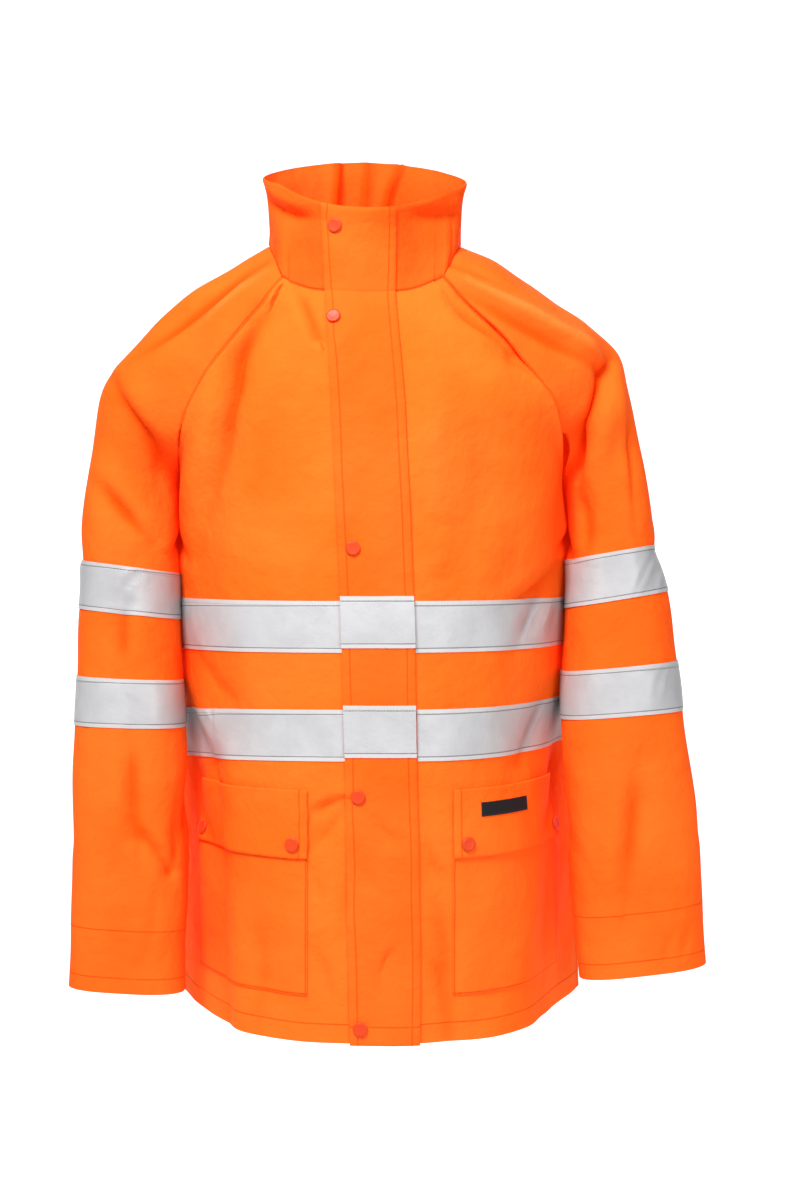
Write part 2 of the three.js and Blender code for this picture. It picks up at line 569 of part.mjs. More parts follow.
// Reflective tape: a ring of pieces round the body at two levels, and one round each sleeve
function tape(name, panel, rows, columnsOf) {
  add(name, wall(layOn(panel, rows, columnsOf, () => SEAM_GAP + TAPE), TAPE), silver);
}
const allColumns = (panel) => panel.points[0].map((_, j) => j);

// Columns of a piece that runs from one place across a panel to another, with the panel's
// own columns in between
function columnsBetween(panel, rows, startOf, endOf) {
  const from = Math.max(...rows.map((row) => Math.min(startOf(row), endOf(row)))) + 0.15;
  const to = Math.min(...rows.map((row) => Math.max(startOf(row), endOf(row)))) - 0.15;
  const inside = allColumns(panel).filter((j) => j > from && j < to);
  return (row) => {
    const [a, b] = [Math.min(startOf(row), endOf(row)), Math.max(startOf(row), endOf(row))];
    return [a, ...inside, b];
  };
}

const heightOf = (panel, row, column) => onFacet(panel.points, row, column).z;

for (const level of ['upper', 'lower']) {
  const [top, foot] = [BODY_LEVEL[`${level}TapeTop`], BODY_LEVEL[`${level}TapeFoot`]];
  const { front_right: right, front_left: left, back } = panels;
  const rows = rowsBetween(right, top, foot);
  const rightStart = (row) => columnAt(right, row, flapEdge('right', heightOf(right, row, 0)) + TAPE_UNDER_FLAP);
  const leftEnd = (row) => columnAt(left, row, flapEdge('left', heightOf(left, row, FRONT_COLUMNS)) + 2 * SEAM_GAP);
  tape(`tape_${level}_front_right`, right, rows, columnsBetween(right, rows, rightStart, () => FRONT_COLUMNS));
  tape(`tape_${level}_front_left`, left, rows, columnsBetween(left, rows, () => 0, leftEnd));
  tape(`tape_${level}_back`, back, rows, () => allColumns(back));
  const raise = FLAP_TAPE_RAISE / (heightOf(right, rows[0], 0) - heightOf(right, rows[1], 0));
  const flapRows = rows.map((row) => row + COLLAR_ROWS - raise);
  tape(`tape_${level}_flap`, stormFlap, flapRows, () => allColumns(stormFlap));
}
for (const side of ['right', 'left']) {
  const sleeve = panels[`sleeve_${side}`];
  for (const level of ['upper', 'lower']) {
    const rows = rowsBetween(sleeve, SLEEVE_LEVEL[`${level}TapeTop`], SLEEVE_LEVEL[`${level}TapeFoot`]);
    tape(`sleeve_tape_${side}_${level}`, sleeve, rows, () => allColumns(sleeve));
  }
}

// The column that lies a distance round a row from another column
function columnAlong(panel, row, from, distance) {
  const step = distance > 0 ? 0.02 : -0.02;
  let column = from;
  let point = onFacet(panel.points, row, column);
  for (let walked = 0; walked < Math.abs(distance) && column >= 0 && column <= FRONT_COLUMNS;) {
    column += step;
    const next = onFacet(panel.points, row, column);
    walked += next.distanceTo(point);
    point = next;
  }
  return THREE.MathUtils.clamp(column, 0, FRONT_COLUMNS);
}

function snap(name, panel, row, column) {
  const profile = SNAP_PROFILE.map(([radius, height]) => new THREE.Vector2(radius, height));
  const mesh = add(name, new THREE.LatheGeometry(profile, SNAP_SIDES), snapPlastic);
  const normal = onFacet(panel.normals, row, column).normalize();
  mesh.position.copy(onFacet(panel.points, row, column).addScaledVector(normal, SNAP_STAND_OFF));
  mesh.quaternion.setFromUnitVectors(vector(0, 1, 0), normal);
}

// Patch pockets, their flaps, the flaps' snaps and the label
for (const side of ['right', 'left']) {
  const panel = panels[`front_${side}`];
  const near = (row) => columnAt(panel, row, POCKET_EDGE[side]);
  const far = (row) => columnAlong(panel, row, near(row), side === 'right' ? POCKET_WIDTH : -POCKET_WIDTH);
  const flapRows = rowsBetween(panel, BODY_LEVEL.pocketFlapTop, BODY_LEVEL.pocketFlapFoot);
  const mouth = mix(flapRows[0], flapRows.at(-1), POCKET_MOUTH_COVER);
  const bagRows = [...new Set([mouth, ...flapRows.filter((row) => row > mouth + 0.2),
    ...rowsBetween(panel, BODY_LEVEL.pocketFlapFoot, BODY_LEVEL.pocketFoot)])];
  const columns = columnsBetween(panel, [...flapRows, ...bagRows], near, far);
  add(`pocket_${side}`, wall(layOn(panel, bagRows, columns, () => POCKET_STAND_OFF + CLOTH), CLOTH), orange);

  const lift = (f) => POCKET_FLAP_TOP_STAND_OFF + DOUBLE_CLOTH + POCKET_FLAP_LIFT * f;
  const pocketFlap = layOn(panel, flapRows, columns, lift);
  add(`pocket_flap_${side}`, wall(pocketFlap, DOUBLE_CLOTH), orange);
  const lastColumn = pocketFlap.points[0].length - 1;
  const lastRow = pocketFlap.points.length - 1;
  POCKET_SNAPS.forEach(({ along, down }, k) => {
    const column = lastColumn * (side === 'right' ? along : 1 - along);
    snap(`pocket_snap_${side}_${k === 0 ? 'inner' : 'outer'}`, pocketFlap, lastRow * down, column);
  });

  if (side === 'left') {
    const middle = lastRow / 2;
    const [from, to] = [columnAt(pocketFlap, middle, LABEL_PLACE.to), columnAt(pocketFlap, middle, LABEL_PLACE.from)];
    const inside = allColumns(pocketFlap).filter((j) => j > from + 0.1 && j < to - 0.1);
    const flapHeight = pocketFlap.points[0][1].distanceTo(pocketFlap.points[lastRow][1]);
    const top = LABEL_PLACE.fromTop * lastRow;
    const labelRows = [top, top + LABEL_PLACE.height / flapHeight * lastRow];
    const label = layOn(pocketFlap, labelRows, () => [from, ...inside, to], () => SEAM_GAP + LABEL);
    add('label', wall(label, LABEL), black);
  }
}

// Snaps down the storm flap
FLAP_SNAPS.forEach(({ x, z }, k) => {
  let row = 0;
  const last = stormFlap.points.length - 1;
  const spot = () => onFacet(stormFlap.points, row, columnAt(stormFlap, row, x));
  while (row < last && spot().z > z) row += 0.02;
  snap(`flap_snap_${k + 1}`, stormFlap, row, columnAt(stormFlap, row, x));
});

export default jacket;
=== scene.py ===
"""The looks of a hi-vis work jacket, hollow as worn, in metres.

+Z is up and the front faces -Y. "Right" and "left" are the wearer's. Places along the body
and the sleeves are counted in table rows from the neck seam: 0 is the neck, 7 the armpit.
"""
import math

import bpy
import numpy as np
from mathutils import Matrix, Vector


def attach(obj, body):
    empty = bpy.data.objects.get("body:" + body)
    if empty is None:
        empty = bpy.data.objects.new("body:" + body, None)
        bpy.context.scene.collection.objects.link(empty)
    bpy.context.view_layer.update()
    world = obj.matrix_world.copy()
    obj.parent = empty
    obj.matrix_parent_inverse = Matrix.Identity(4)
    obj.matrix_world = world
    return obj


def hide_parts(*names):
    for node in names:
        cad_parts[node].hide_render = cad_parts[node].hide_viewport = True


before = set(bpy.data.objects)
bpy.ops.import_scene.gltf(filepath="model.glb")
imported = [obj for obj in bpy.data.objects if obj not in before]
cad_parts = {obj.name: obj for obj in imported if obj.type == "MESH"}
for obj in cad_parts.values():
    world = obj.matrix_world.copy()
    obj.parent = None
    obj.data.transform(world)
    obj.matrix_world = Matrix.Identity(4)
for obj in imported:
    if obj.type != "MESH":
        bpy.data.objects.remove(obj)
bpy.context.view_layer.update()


# The studio: a camera in front of the chest, a white paper sweep for a floor, and soft lamps.
# None of it belongs to the jacket.
CAMERA_PLACE = (0.027, -2.0, -0.365)
CAMERA_LENS = 57.43
SWEEP_FLOOR = -1.3
SWEEP_FRONT = -0.6
SWEEP_BACK = 6.0
SWEEP_BEND = 1.2
SWEEP_HALF_WIDTH = 5.0
SWEEP_TOP = 4.0
LAMPS = [
    ("key", (-0.85, -2.0, 1.7), (0, 0, -0.4), 1.0, 121),
    ("fill", (1.2, -2.8, 0.0), (0, 0, -0.5), 1.0, 34),
    ("top", (0.1, 0.2, 2.2), (0, 0, 0), 1.2, 13),
    ("back", (0.3, 2.0, 1.6), (0, 0, -0.4), 1.8, 10),
]

scene = bpy.context.scene
camera = bpy.data.objects.new("camera", bpy.data.cameras.new("camera"))
camera.location = CAMERA_PLACE
camera.rotation_euler = (math.radians(90), 0, 0)
camera.data.lens = CAMERA_LENS
camera.data.sensor_width = 36
scene.collection.objects.link(camera)
scene.camera = camera
scene.view_settings.view_transform = "Standard"

for name, place, aim, size, power in LAMPS:
    lamp = bpy.data.objects.new(name, bpy.data.lights.new(name, "AREA"))
    lamp.data.size = size
    lamp.data.energy = power
    lamp.location = place
    lamp.rotation_euler = (Vector(aim) - Vector(place)).to_track_quat("-Z", "Y").to_euler()
    scene.collection.objects.link(lamp)

scene.world = bpy.data.worlds.new("studio")
scene.world.use_nodes = True
air = scene.world.node_tree.nodes["Background"]
air.inputs["Color"].default_value = (1, 1, 1, 1)
air.inputs["Strength"].default_value = 0.3

bend = [(SWEEP_BACK - SWEEP_BEND + SWEEP_BEND * math.sin(a),
         SWEEP_FLOOR + SWEEP_BEND - SWEEP_BEND * math.cos(a))
        for a in np.linspace(0, math.pi / 2, 24)]
profile = [(SWEEP_FRONT, SWEEP_FLOOR), *bend, (SWEEP_BACK, SWEEP_TOP)]
sweep_mesh = bpy.data.meshes.new("sweep")
sweep_mesh.from_pydata(
    [(x, y, z) for y, z in profile for x in (-SWEEP_HALF_WIDTH, SWEEP_HALF_WIDTH)], [],
    [(2 * k, 2 * k + 1, 2 * k + 3, 2 * k + 2) for k in range(len(profile) - 1)])
sweep_mesh.shade_smooth()
sweep = bpy.data.objects.new("sweep", sweep_mesh)
scene.collection.objects.link(sweep)
paper = bpy.data.materials.new("white_paper")
paper.use_nodes = True
for name, value in (("Base Color", (0.6, 0.6, 0.6, 1)), ("Roughness", 0.9),
                    ("Emission Color", (1, 1, 1, 1)), ("Emission Strength", 0.85)):
    paper.node_tree.nodes["Principled BSDF"].inputs[name].default_value = value
sweep_mesh.materials.append(paper)


# The body: two fronts and a one-piece back in fluorescent orange coated cloth, sewn at the
# sides and to the raglan sleeves. The sleeves are one piece each, closed by an underarm seam.
# The tables give the cut as worn: the centre line, the side seams, the raglan seams with the
# line over the arm, and the rings of the sleeves.
CLOTH = 0.0012
SEAM_GAP = 0.0003
ARMPIT = 7
NEAR_SEAM = (0, 0.0007, 0.0016, 0.003, 0.0052)
SLEEVE_SQUARE = 2.6
SEAM_EASE = 0.032
SEAM_EASE_REACH = 0.075
SEAM_EASE_FADE = (4.8, 6.8)
ROW_POINTS = 161
# The width that is averaged, then how many rows from the armpit it is full and where it ends
BODY_EASE = (0.05, 1.2, 2.6)
BODY_DEPTH_EASE = (0.06, 1.6, 4.5)
SLEEVE_EASE = (0.03, 0.4, 1.3)


def table(columns, rows):
    return {name: np.array(values, float) for name, values in zip(columns.split(), zip(*rows))}


CENTRE = table("x front front_z back back_z", [
    (-.013, -.11, -.061, .075, .02),
    (-.012, -.12, -.082, .094, -.022),
    (-.01, -.129, -.105, .108, -.064),
    (-.009, -.136, -.13, .117, -.104),
    (-.007, -.142, -.157, .123, -.142),
    (-.005, -.147, -.186, .127, -.178),
    (-.003, -.151, -.216, .129, -.212),
    (-.001, -.154, -.245, .13, -.245),
    (.002, -.157, -.3, .129, -.298),
    (.005, -.158, -.3655, .127, -.357),
    (.007, -.158, -.4155, .126, -.407),
    (.008, -.158, -.47, .126, -.465),
    (.009, -.158, -.52, .126, -.515),
    (.009, -.158, -.548, .126, -.543),
    (.01, -.159, -.613, .127, -.607),
    (.011, -.16, -.746, .129, -.739),
    (.012, -.16, -.791, .13, -.784),
])

# The rises are how far each side hangs above the centre, the flares are the angles by which
# the front and the back widen past the seam, and square is how full the corners are.
SIDE = table("right left y right_rise left_rise flare back_flare square", [
    (-.201, .1955, .005, -.002, -.002, 0, 0, .6),
    (-.2135, .2105, .028, .001, .001, 11, 4, .6),
    (-.2145, .2105, .04, .005, .006, 15, 6, .6),
    (-.2135, .211, .042, .001, .007, 17, 6, .61),
    (-.2105, .2105, .042, -.008, .008, 20, 7, .62),
    (-.206, .2085, .042, -.009, .009, 21, 8, .63),
    (-.205, .209, .042, .002, .01, 21, 9, .64),
    (-.2045, .2105, .042, .006, .01, 21, 11, .66),
    (-.205, .214, .042, .013, .012, 22, 16, .69),
    (-.206, .216, .042, .014, .014, 22, 18, .7),
])

# The turns are the angles at which the panels meet the raglan seam. wrap, lead, trail and pull
# shape the sleeve between its seams and the line over the arm.
SHOULDER_COLUMNS = ("over_x over_y over_z fore_x fore_y fore_z aft_x aft_y aft_z "
                    "fore_turn aft_turn wrap lead trail pull")
SHOULDER = {
    "right": table(SHOULDER_COLUMNS, [
        (-.11, -.005, .003, -.091, -.085, -.042, -.086, .05, .015, 64, 58, -.2, .038, .028, .018),
        (-.138, -.006, -.017, -.112, -.097, -.07, -.117, .078, -.022, 70, 64, -.25, .046, .042, .026),
        (-.168, -.007, -.035, -.132, -.105, -.097, -.143, .096, -.064, 70, 68, -.22, .054, .052, .034),
        (-.2, -.008, -.058, -.152, -.104, -.124, -.164, .104, -.106, 58, 62, -.1, .06, .058, .038),
        (-.231, -.008, -.086, -.171, -.096, -.151, -.181, .101, -.147, 40, 46, .15, .066, .064, .042),
        (-.269, -.007, -.128, -.187, -.083, -.18, -.193, .084, -.186, 24, 28, .35, .072, .072, .046),
        (-.285, -.006, -.16, -.197, -.058, -.213, -.2, .042, -.22, 10, 10, .7, .082, .08, .056),
        (-.295, -.005, -.222, -.201, .005, -.247, -.201, .005, -.247, 0, 0, 1, .088, .088, .088),
    ]),
    "left": table(SHOULDER_COLUMNS, [
        (.091, 0, .003, .071, -.08, -.04, .066, .05, .015, 62, 58, -.2, .038, .026, .018),
        (.122, -.003, -.011, .099, -.094, -.069, .098, .078, -.022, 68, 64, -.25, .046, .042, .026),
        (.154, -.005, -.032, .127, -.105, -.099, .127, .096, -.064, 68, 68, -.22, .054, .052, .034),
        (.188, -.006, -.056, .147, -.104, -.123, .15, .104, -.106, 58, 62, -.1, .06, .058, .038),
        (.22, -.006, -.08, .167, -.096, -.147, .169, .101, -.147, 40, 46, .15, .066, .064, .042),
        (.253, -.005, -.11, .184, -.083, -.172, .184, .084, -.186, 24, 28, .35, .072, .072, .046),
        (.264, -.005, -.15, .193, -.058, -.208, .192, .042, -.22, 10, 10, .7, .082, .08, .056),
        (.275, -.005, -.205, .1955, .005, -.247, .1955, .005, -.247, 0, 0, 1, .088, .088, .088),
    ]),
}
SLEEVE_COLUMNS = "over_x over_y over_z under_x under_y under_z depth"
SLEEVE = {
    "right": table(SLEEVE_COLUMNS, [
        (-.295, -.005, -.222, -.201, .005, -.247, .066),
        (-.301, -.008, -.272, -.2015, -.008, -.287, .068),
        (-.303, -.009, -.323, -.2005, -.011, -.337, .067),
        (-.304, -.013, -.373, -.2015, -.015, -.384, .065),
        (-.3045, -.022, -.441, -.197, -.024, -.446, .062),
        (-.306, -.03, -.491, -.193, -.032, -.494, .06),
        (-.306, -.04, -.56, -.1905, -.042, -.56, .056),
        (-.306, -.05, -.64, -.1895, -.051, -.64, .05),
        (-.3055, -.058, -.71, -.189, -.058, -.713, .044),
        (-.3065, -.062, -.752, -.189, -.062, -.758, .041),
    ]),
    "left": table(SLEEVE_COLUMNS, [
        (.275, -.005, -.205, .1955, .005, -.247, .066),
        (.285, -.008, -.258, .2, -.008, -.285, .068),
        (.292, -.009, -.307, .2, -.011, -.323, .067),
        (.303, -.013, -.355, .199, -.015, -.373, .065),
        (.311, -.022, -.426, .195, -.024, -.437, .062),
        (.318, -.03, -.476, .1925, -.032, -.486, .06),
        (.326, -.04, -.55, .1945, -.042, -.552, .056),
        (.332, -.05, -.63, .2, -.051, -.632, .05),
        (.335, -.058, -.692, .205, -.058, -.702, .044),
        (.336, -.062, -.729, .2085, -.062, -.745, .041),
    ]),
}

# How many steps the grids have down the shoulders, between the levels below them, and across
SHOULDER_STEPS = 70
BODY_STEPS = [17, 20, 17, 18, 16, 10, 22, 38, 24]
SLEEVE_STEPS = [16, 16, 16, 20, 16, 20, 24, 24, 24]
FRONT_COLUMNS = 80
BACK_COLUMNS = 120
SLEEVE_COLUMNS_ROUND = 108
BODY_LEVEL = {"upper tape": (9, 10), "lower tape": (11, 12), "pocket flap": (13, 14), "pocket foot": 15}
SLEEVE_LEVEL = {"upper tape": (9, 10), "lower tape": (11, 12)}


def read(rows, places):
    """A smooth curve through each column of a table, read at places counted in rows."""
    places = np.asarray(places, float)
    count = len(next(iter(rows.values())))
    i = np.clip(np.floor(places).astype(int), 0, count - 2)
    f = places - i
    found = {}
    for name, values in rows.items():
        a, b, c, d = (values[np.clip(i + k, 0, count - 1)] for k in (-1, 0, 1, 2))
        found[name] = b + 0.5 * f * (c - a + f * (2 * a - 5 * b + 4 * c - d + f * (3 * (b - c) + d - a)))
    return found


def point(row, *names):
    return np.stack([row[name] for name in names], axis=-1)


def smoothstep(value, low, high):
    f = np.clip((value - low) / (high - low), 0, 1)
    return f * f * (3 - 2 * f)


def unit(vectors):
    return vectors / np.maximum(np.linalg.norm(vectors, axis=-1, keepdims=True), 1e-12)


def arc(start, start_pull, end_pull, end, t):
    """Cubic curves from an array of starts to an array of ends, read at t."""
    a, b, c, d = (p[:, None, :] for p in (start, start + start_pull, end + end_pull, end))
    t = t[None, :, None]
    return a * (1 - t) ** 3 + 3 * b * t * (1 - t) ** 2 + 3 * c * t * t * (1 - t) + d * t ** 3


def fuller_arc(start, end, depth, way, t):
    """Like half an ellipse from each start to each end, but with fuller corners."""
    angle = math.pi * t
    along = 0.5 - 0.5 * np.sign(np.cos(angle)) * np.abs(np.cos(angle)) ** (2 / SLEEVE_SQUARE)
    out = np.abs(np.sin(angle)) ** (2 / SLEEVE_SQUARE)
    straight = start[:, None] + (end - start)[:, None] * along[None, :, None]
    return straight + way * (depth * out[None, :])[..., None]


def blurred(values, run, width):
    """Values along a line, averaged over a width."""
    share = np.gradient(run)[None, :] * np.exp(-((run[:, None] - run[None, :]) / width) ** 2)
    return (share @ values) / share.sum(1)[:, None]


def ease_down(rows, places, width, full, end, axes=slice(None)):
    """The rows above and below the armpit run smoothly into each other, but for the edges."""
    near = 1 - smoothstep(np.abs(places - ARMPIT - 0.2), full, end)
    t = np.linspace(0, 1, rows.shape[1])
    inside = smoothstep(np.minimum(t, 1 - t), 0.0, 0.12)
    for j in range(1, rows.shape[1] - 1):
        run = np.concatenate([[0], np.cumsum(np.linalg.norm(np.diff(rows[:, j], axis=0), axis=1))])
        weight = (near * inside[j])[:, None]
        rows[:, j, axes] += weight * (blurred(rows[:, j], run, width) - rows[:, j])[:, axes]
    return rows


def places_down(steps):
    """Places of the rows: an even run to the armpit, then steps level by level."""
    places = list(np.linspace(0, ARMPIT, SHOULDER_STEPS + 1))
    for level, count in enumerate(steps):
        places += [ARMPIT + level + k / count for k in range(1, count + 1)]
    return np.array(places)


def half_rows(side, places, aft):
    """The rows of half a body panel, from the centre line to the side or raglan seam."""
    outward = -1 if side == "right" else 1
    centre = read(CENTRE, places)
    seam = read(SHOULDER[side], places[places <= ARMPIT])
    below = read(SIDE, places[places > ARMPIT] - ARMPIT)
    height = centre["front_z"][places > ARMPIT] + below[f"{side}_rise"]
    end = np.concatenate([
        point(seam, *(("aft_x", "aft_y", "aft_z") if aft else ("fore_x", "fore_y", "fore_z"))),
        np.stack([below[side], below["y"], height], axis=-1)])
    turn = np.radians(np.concatenate([
        seam["aft_turn" if aft else "fore_turn"], -below["back_flare"] if aft else below["flare"]]))
    square = np.concatenate([np.full(len(seam["wrap"]), SIDE["square"][0]), below["square"]])
    start = point(centre, "x", *(("back", "back_z") if aft else ("front", "front_z")))
    across = np.abs(end[:, 0] - start[:, 0])
    deep = np.abs(end[:, 1] - start[:, 1])
    reach = square * (deep * np.cos(turn) + 0.5 * across * np.abs(np.sin(turn)))
    zero = np.zeros_like(turn)
    pull = np.stack([-outward * np.sin(turn), (1 if aft else -1) * np.cos(turn), zero], -1) * reach[:, None]
    lead = np.stack([outward * square * across, zero, zero], axis=-1)
    t = np.linspace(0, 1, ROW_POINTS)
    rows = arc(start, lead, pull, end, t)
    rows[:, :, 2] = start[:, None, 2] + (end - start)[:, None, 2] * t ** 2
    rows = ease_down(rows, places, *BODY_EASE)
    return ease_down(rows, places, *BODY_DEPTH_EASE, slice(1, 2))


def sleeve_rows(side, places):
    """The rows of a sleeve, from its front seam over the arm to its back seam."""
    t = np.linspace(0, 1, ROW_POINTS // 2 + 1)
    ahead = np.array([0.0, -1, 0])
    cap = read(SHOULDER[side], places[places <= ARMPIT])
    over = point(cap, "over_x", "over_y", "over_z")
    lead, trail, pull = (cap[name][:, None] for name in ("lead", "trail", "pull"))

    def wrapped(seam, way):
        rise = unit((over - seam) * (1, 0, 1))
        return unit(rise + (way - rise) * cap["wrap"][:, None])

    fore, aft = point(cap, "fore_x", "fore_y", "fore_z"), point(cap, "aft_x", "aft_y", "aft_z")
    upper = np.concatenate([
        arc(fore, wrapped(fore, ahead) * pull, ahead * lead, over, t),
        arc(over, -ahead * trail, wrapped(aft, -ahead) * pull, aft, t)[:, 1:]], axis=1)
    ring = read(SLEEVE[side], places[places > ARMPIT] - ARMPIT)
    over, under = point(ring, "over_x", "over_y", "over_z"), point(ring, "under_x", "under_y", "under_z")
    skew = (ring["under_y"] - ring["over_y"]) / 2
    lead, trail = (ring["depth"] + skew)[:, None] * 4 / 3, (ring["depth"] - skew)[:, None] * 4 / 3
    lower = np.concatenate([
        arc(under, ahead * lead, ahead * lead, over, t),
        arc(over, -ahead * trail, -ahead * trail, under, t)[:, 1:]], axis=1)
    share = smoothstep(places[places > ARMPIT], ARMPIT, ARMPIT + 1.5)[:, None, None]
    boxed = np.concatenate([
        fuller_arc(under, over, 0.75 * lead, ahead, t),
        fuller_arc(over, under, 0.75 * trail, -ahead, t)[:, 1:]], axis=1)
    rows = np.concatenate([upper, lower + (boxed - lower) * share])
    return ease_down(rows, places, *SLEEVE_EASE)


def space_out(rows, count):
    """Points at even distances along each row, with a few more close to its two ends."""
    spaced = []
    for row in rows:
        run = np.concatenate([[0], np.cumsum(np.linalg.norm(np.diff(row, axis=0), axis=1))])
        near = np.array(NEAR_SEAM)
        middle = np.linspace(near[-1], run[-1] - near[-1], count - 2 * len(near) + 3)
        wanted = np.concatenate([near[:-1], middle, run[-1] - near[-2::-1]])
        spaced.append(np.stack([np.interp(wanted, run, row[:, k]) for k in range(3)], axis=1))
    return np.array(spaced)


class Panel:
    """A piece of cloth as a grid of points on its outer face.

    Seen from outside, rows run down and columns run to the left, so its normals point out.
    """

    def __init__(self, points, places=None):
        self.points = points
        self.places = places
        # Painted shade from the creases, and painted highlight where it is negative
        self.painted_fold_lights = np.zeros(points.shape[:2])
        self.find_normals()

    def find_normals(self):
        along, down = np.gradient(self.points, axis=1), np.gradient(self.points, axis=0)
        self.normals = unit(np.cross(along, down))

    def at(self, rows, columns, grid=None):
        """Points, or other values on the grid, between its rows and columns."""
        grid = self.points if grid is None else grid
        rows, columns = np.broadcast_arrays(np.asarray(rows, float), np.asarray(columns, float))
        i = np.clip(np.floor(rows).astype(int), 0, grid.shape[0] - 2)
        j = np.clip(np.floor(columns).astype(int), 0, grid.shape[1] - 2)
        f, g = (rows - i)[..., None], (columns - j)[..., None]
        upper = grid[i, j] * (1 - g) + grid[i, j + 1] * g
        lower = grid[i + 1, j] * (1 - g) + grid[i + 1, j + 1] * g
        return upper * (1 - f) + lower * f

    def lay(self, rows, columns, lift):
        """A piece that lies on this one, moved out by a lift that may vary over it."""
        rows = np.asarray(rows, float)[:, None]
        normals = unit(self.at(rows, columns, self.normals))
        laid = Panel(self.at(rows, columns) + normals * np.asarray(lift)[..., None])
        laid.normals = normals
        laid.painted_fold_lights = self.at(rows, columns, self.painted_fold_lights[..., None])[..., 0]
        return laid

    def row_of(self, place):
        return int(np.argmin(np.abs(self.places - place)))

    def across(self):
        """Distances from the first column along each row."""
        steps = np.linalg.norm(np.diff(self.points, axis=1), axis=2)
        return np.concatenate([np.zeros((len(steps), 1)), np.cumsum(steps, axis=1)], axis=1)

    def down(self):
        """Distances from the first row down each column."""
        steps = np.linalg.norm(np.diff(self.points, axis=0), axis=2)
        return np.concatenate([np.zeros((1, steps.shape[1])), np.cumsum(steps, axis=0)])


def weld(panels):
    """Panels that meet at a seam share their normals there, unless they face each other."""
    shared = {}
    for panel in panels:
        rows, columns = panel.points.shape[:2]
        border = {(i, j) for i in range(rows) for j in (0, columns - 1)}
        border |= {(i, j) for i in (0, rows - 1) for j in range(columns)}
        for i, j in border:
            key = tuple(np.round(panel.points[i, j], 5) + 0.0)
            shared.setdefault(key, []).append((panel, i, j, panel.normals[i, j].copy()))
    for meeting in shared.values():
        for panel, i, j, normal in meeting:
            total = sum(other for _, _, _, other in meeting if other @ normal > 0.3)
            if len(meeting) > 1:
                panel.normals[i, j] = unit(total)


body_places = places_down(BODY_STEPS)
sleeve_places = places_down(SLEEVE_STEPS)


def front_panel(side):
    rows = space_out(half_rows(side, body_places, False), FRONT_COLUMNS)
    return Panel(rows if side == "right" else rows[:, ::-1], body_places)


def back_panel():
    right, left = (half_rows(side, body_places, True) for side in ("right", "left"))
    rows = np.concatenate([right[:, ::-1], left[:, 1:]], axis=1)
    return Panel(space_out(rows, BACK_COLUMNS), body_places)


def sleeve_panel(side):
    rows = space_out(sleeve_rows(side, sleeve_places), SLEEVE_COLUMNS_ROUND)
    return Panel(rows if side == "right" else rows[:, ::-1], sleeve_places)


panels = {
    "front_right": front_panel("right"),
    "front_left": front_panel("left"),
    "back": back_panel(),
    "sleeve_right": sleeve_panel("right"),
    "sleeve_left": sleeve_panel("left"),
}


def ease_raglan_seams(side):
    """The cloth lies flat across the seams between the sleeve and the body."""
    front, sleeve, back = panels[f"front_{side}"], panels[f"sleeve_{side}"], panels["back"]
    flip = slice(None, None, 1 if side == "right" else -1)
    middle = back.points.shape[1] // 2
    for i in range(SHOULDER_STEPS + 1):
        fade = 1 - smoothstep(body_places[i], *SEAM_EASE_FADE)
        parts = [front.points[i, flip], sleeve.points[i, flip], back.points[i, flip][:middle]]
        row = np.concatenate([parts[0], parts[1][1:], parts[2][1:]])
        run = np.concatenate([[0], np.cumsum(np.linalg.norm(np.diff(row, axis=0), axis=1))])
        seams = run[[len(parts[0]) - 1, len(parts[0]) + len(parts[1]) - 2]]
        nearest = np.abs(run[:, None] - seams[None, :]).min(1)
        weight = fade * (1 - smoothstep(nearest, 0.2 * SEAM_EASE_REACH, SEAM_EASE_REACH))
        row[:, 1] += weight * (blurred(row, run, SEAM_EASE)[:, 1] - row[:, 1])
        first, second = len(parts[0]), len(parts[0]) + len(parts[1]) - 1
        front.points[i, flip] = row[:first]
        sleeve.points[i, flip] = row[first - 1:second]
        back.points[i, flip][:middle] = row[second - 1:]


for side in ("right", "left"):
    ease_raglan_seams(side)
for panel in panels.values():
    panel.find_normals()
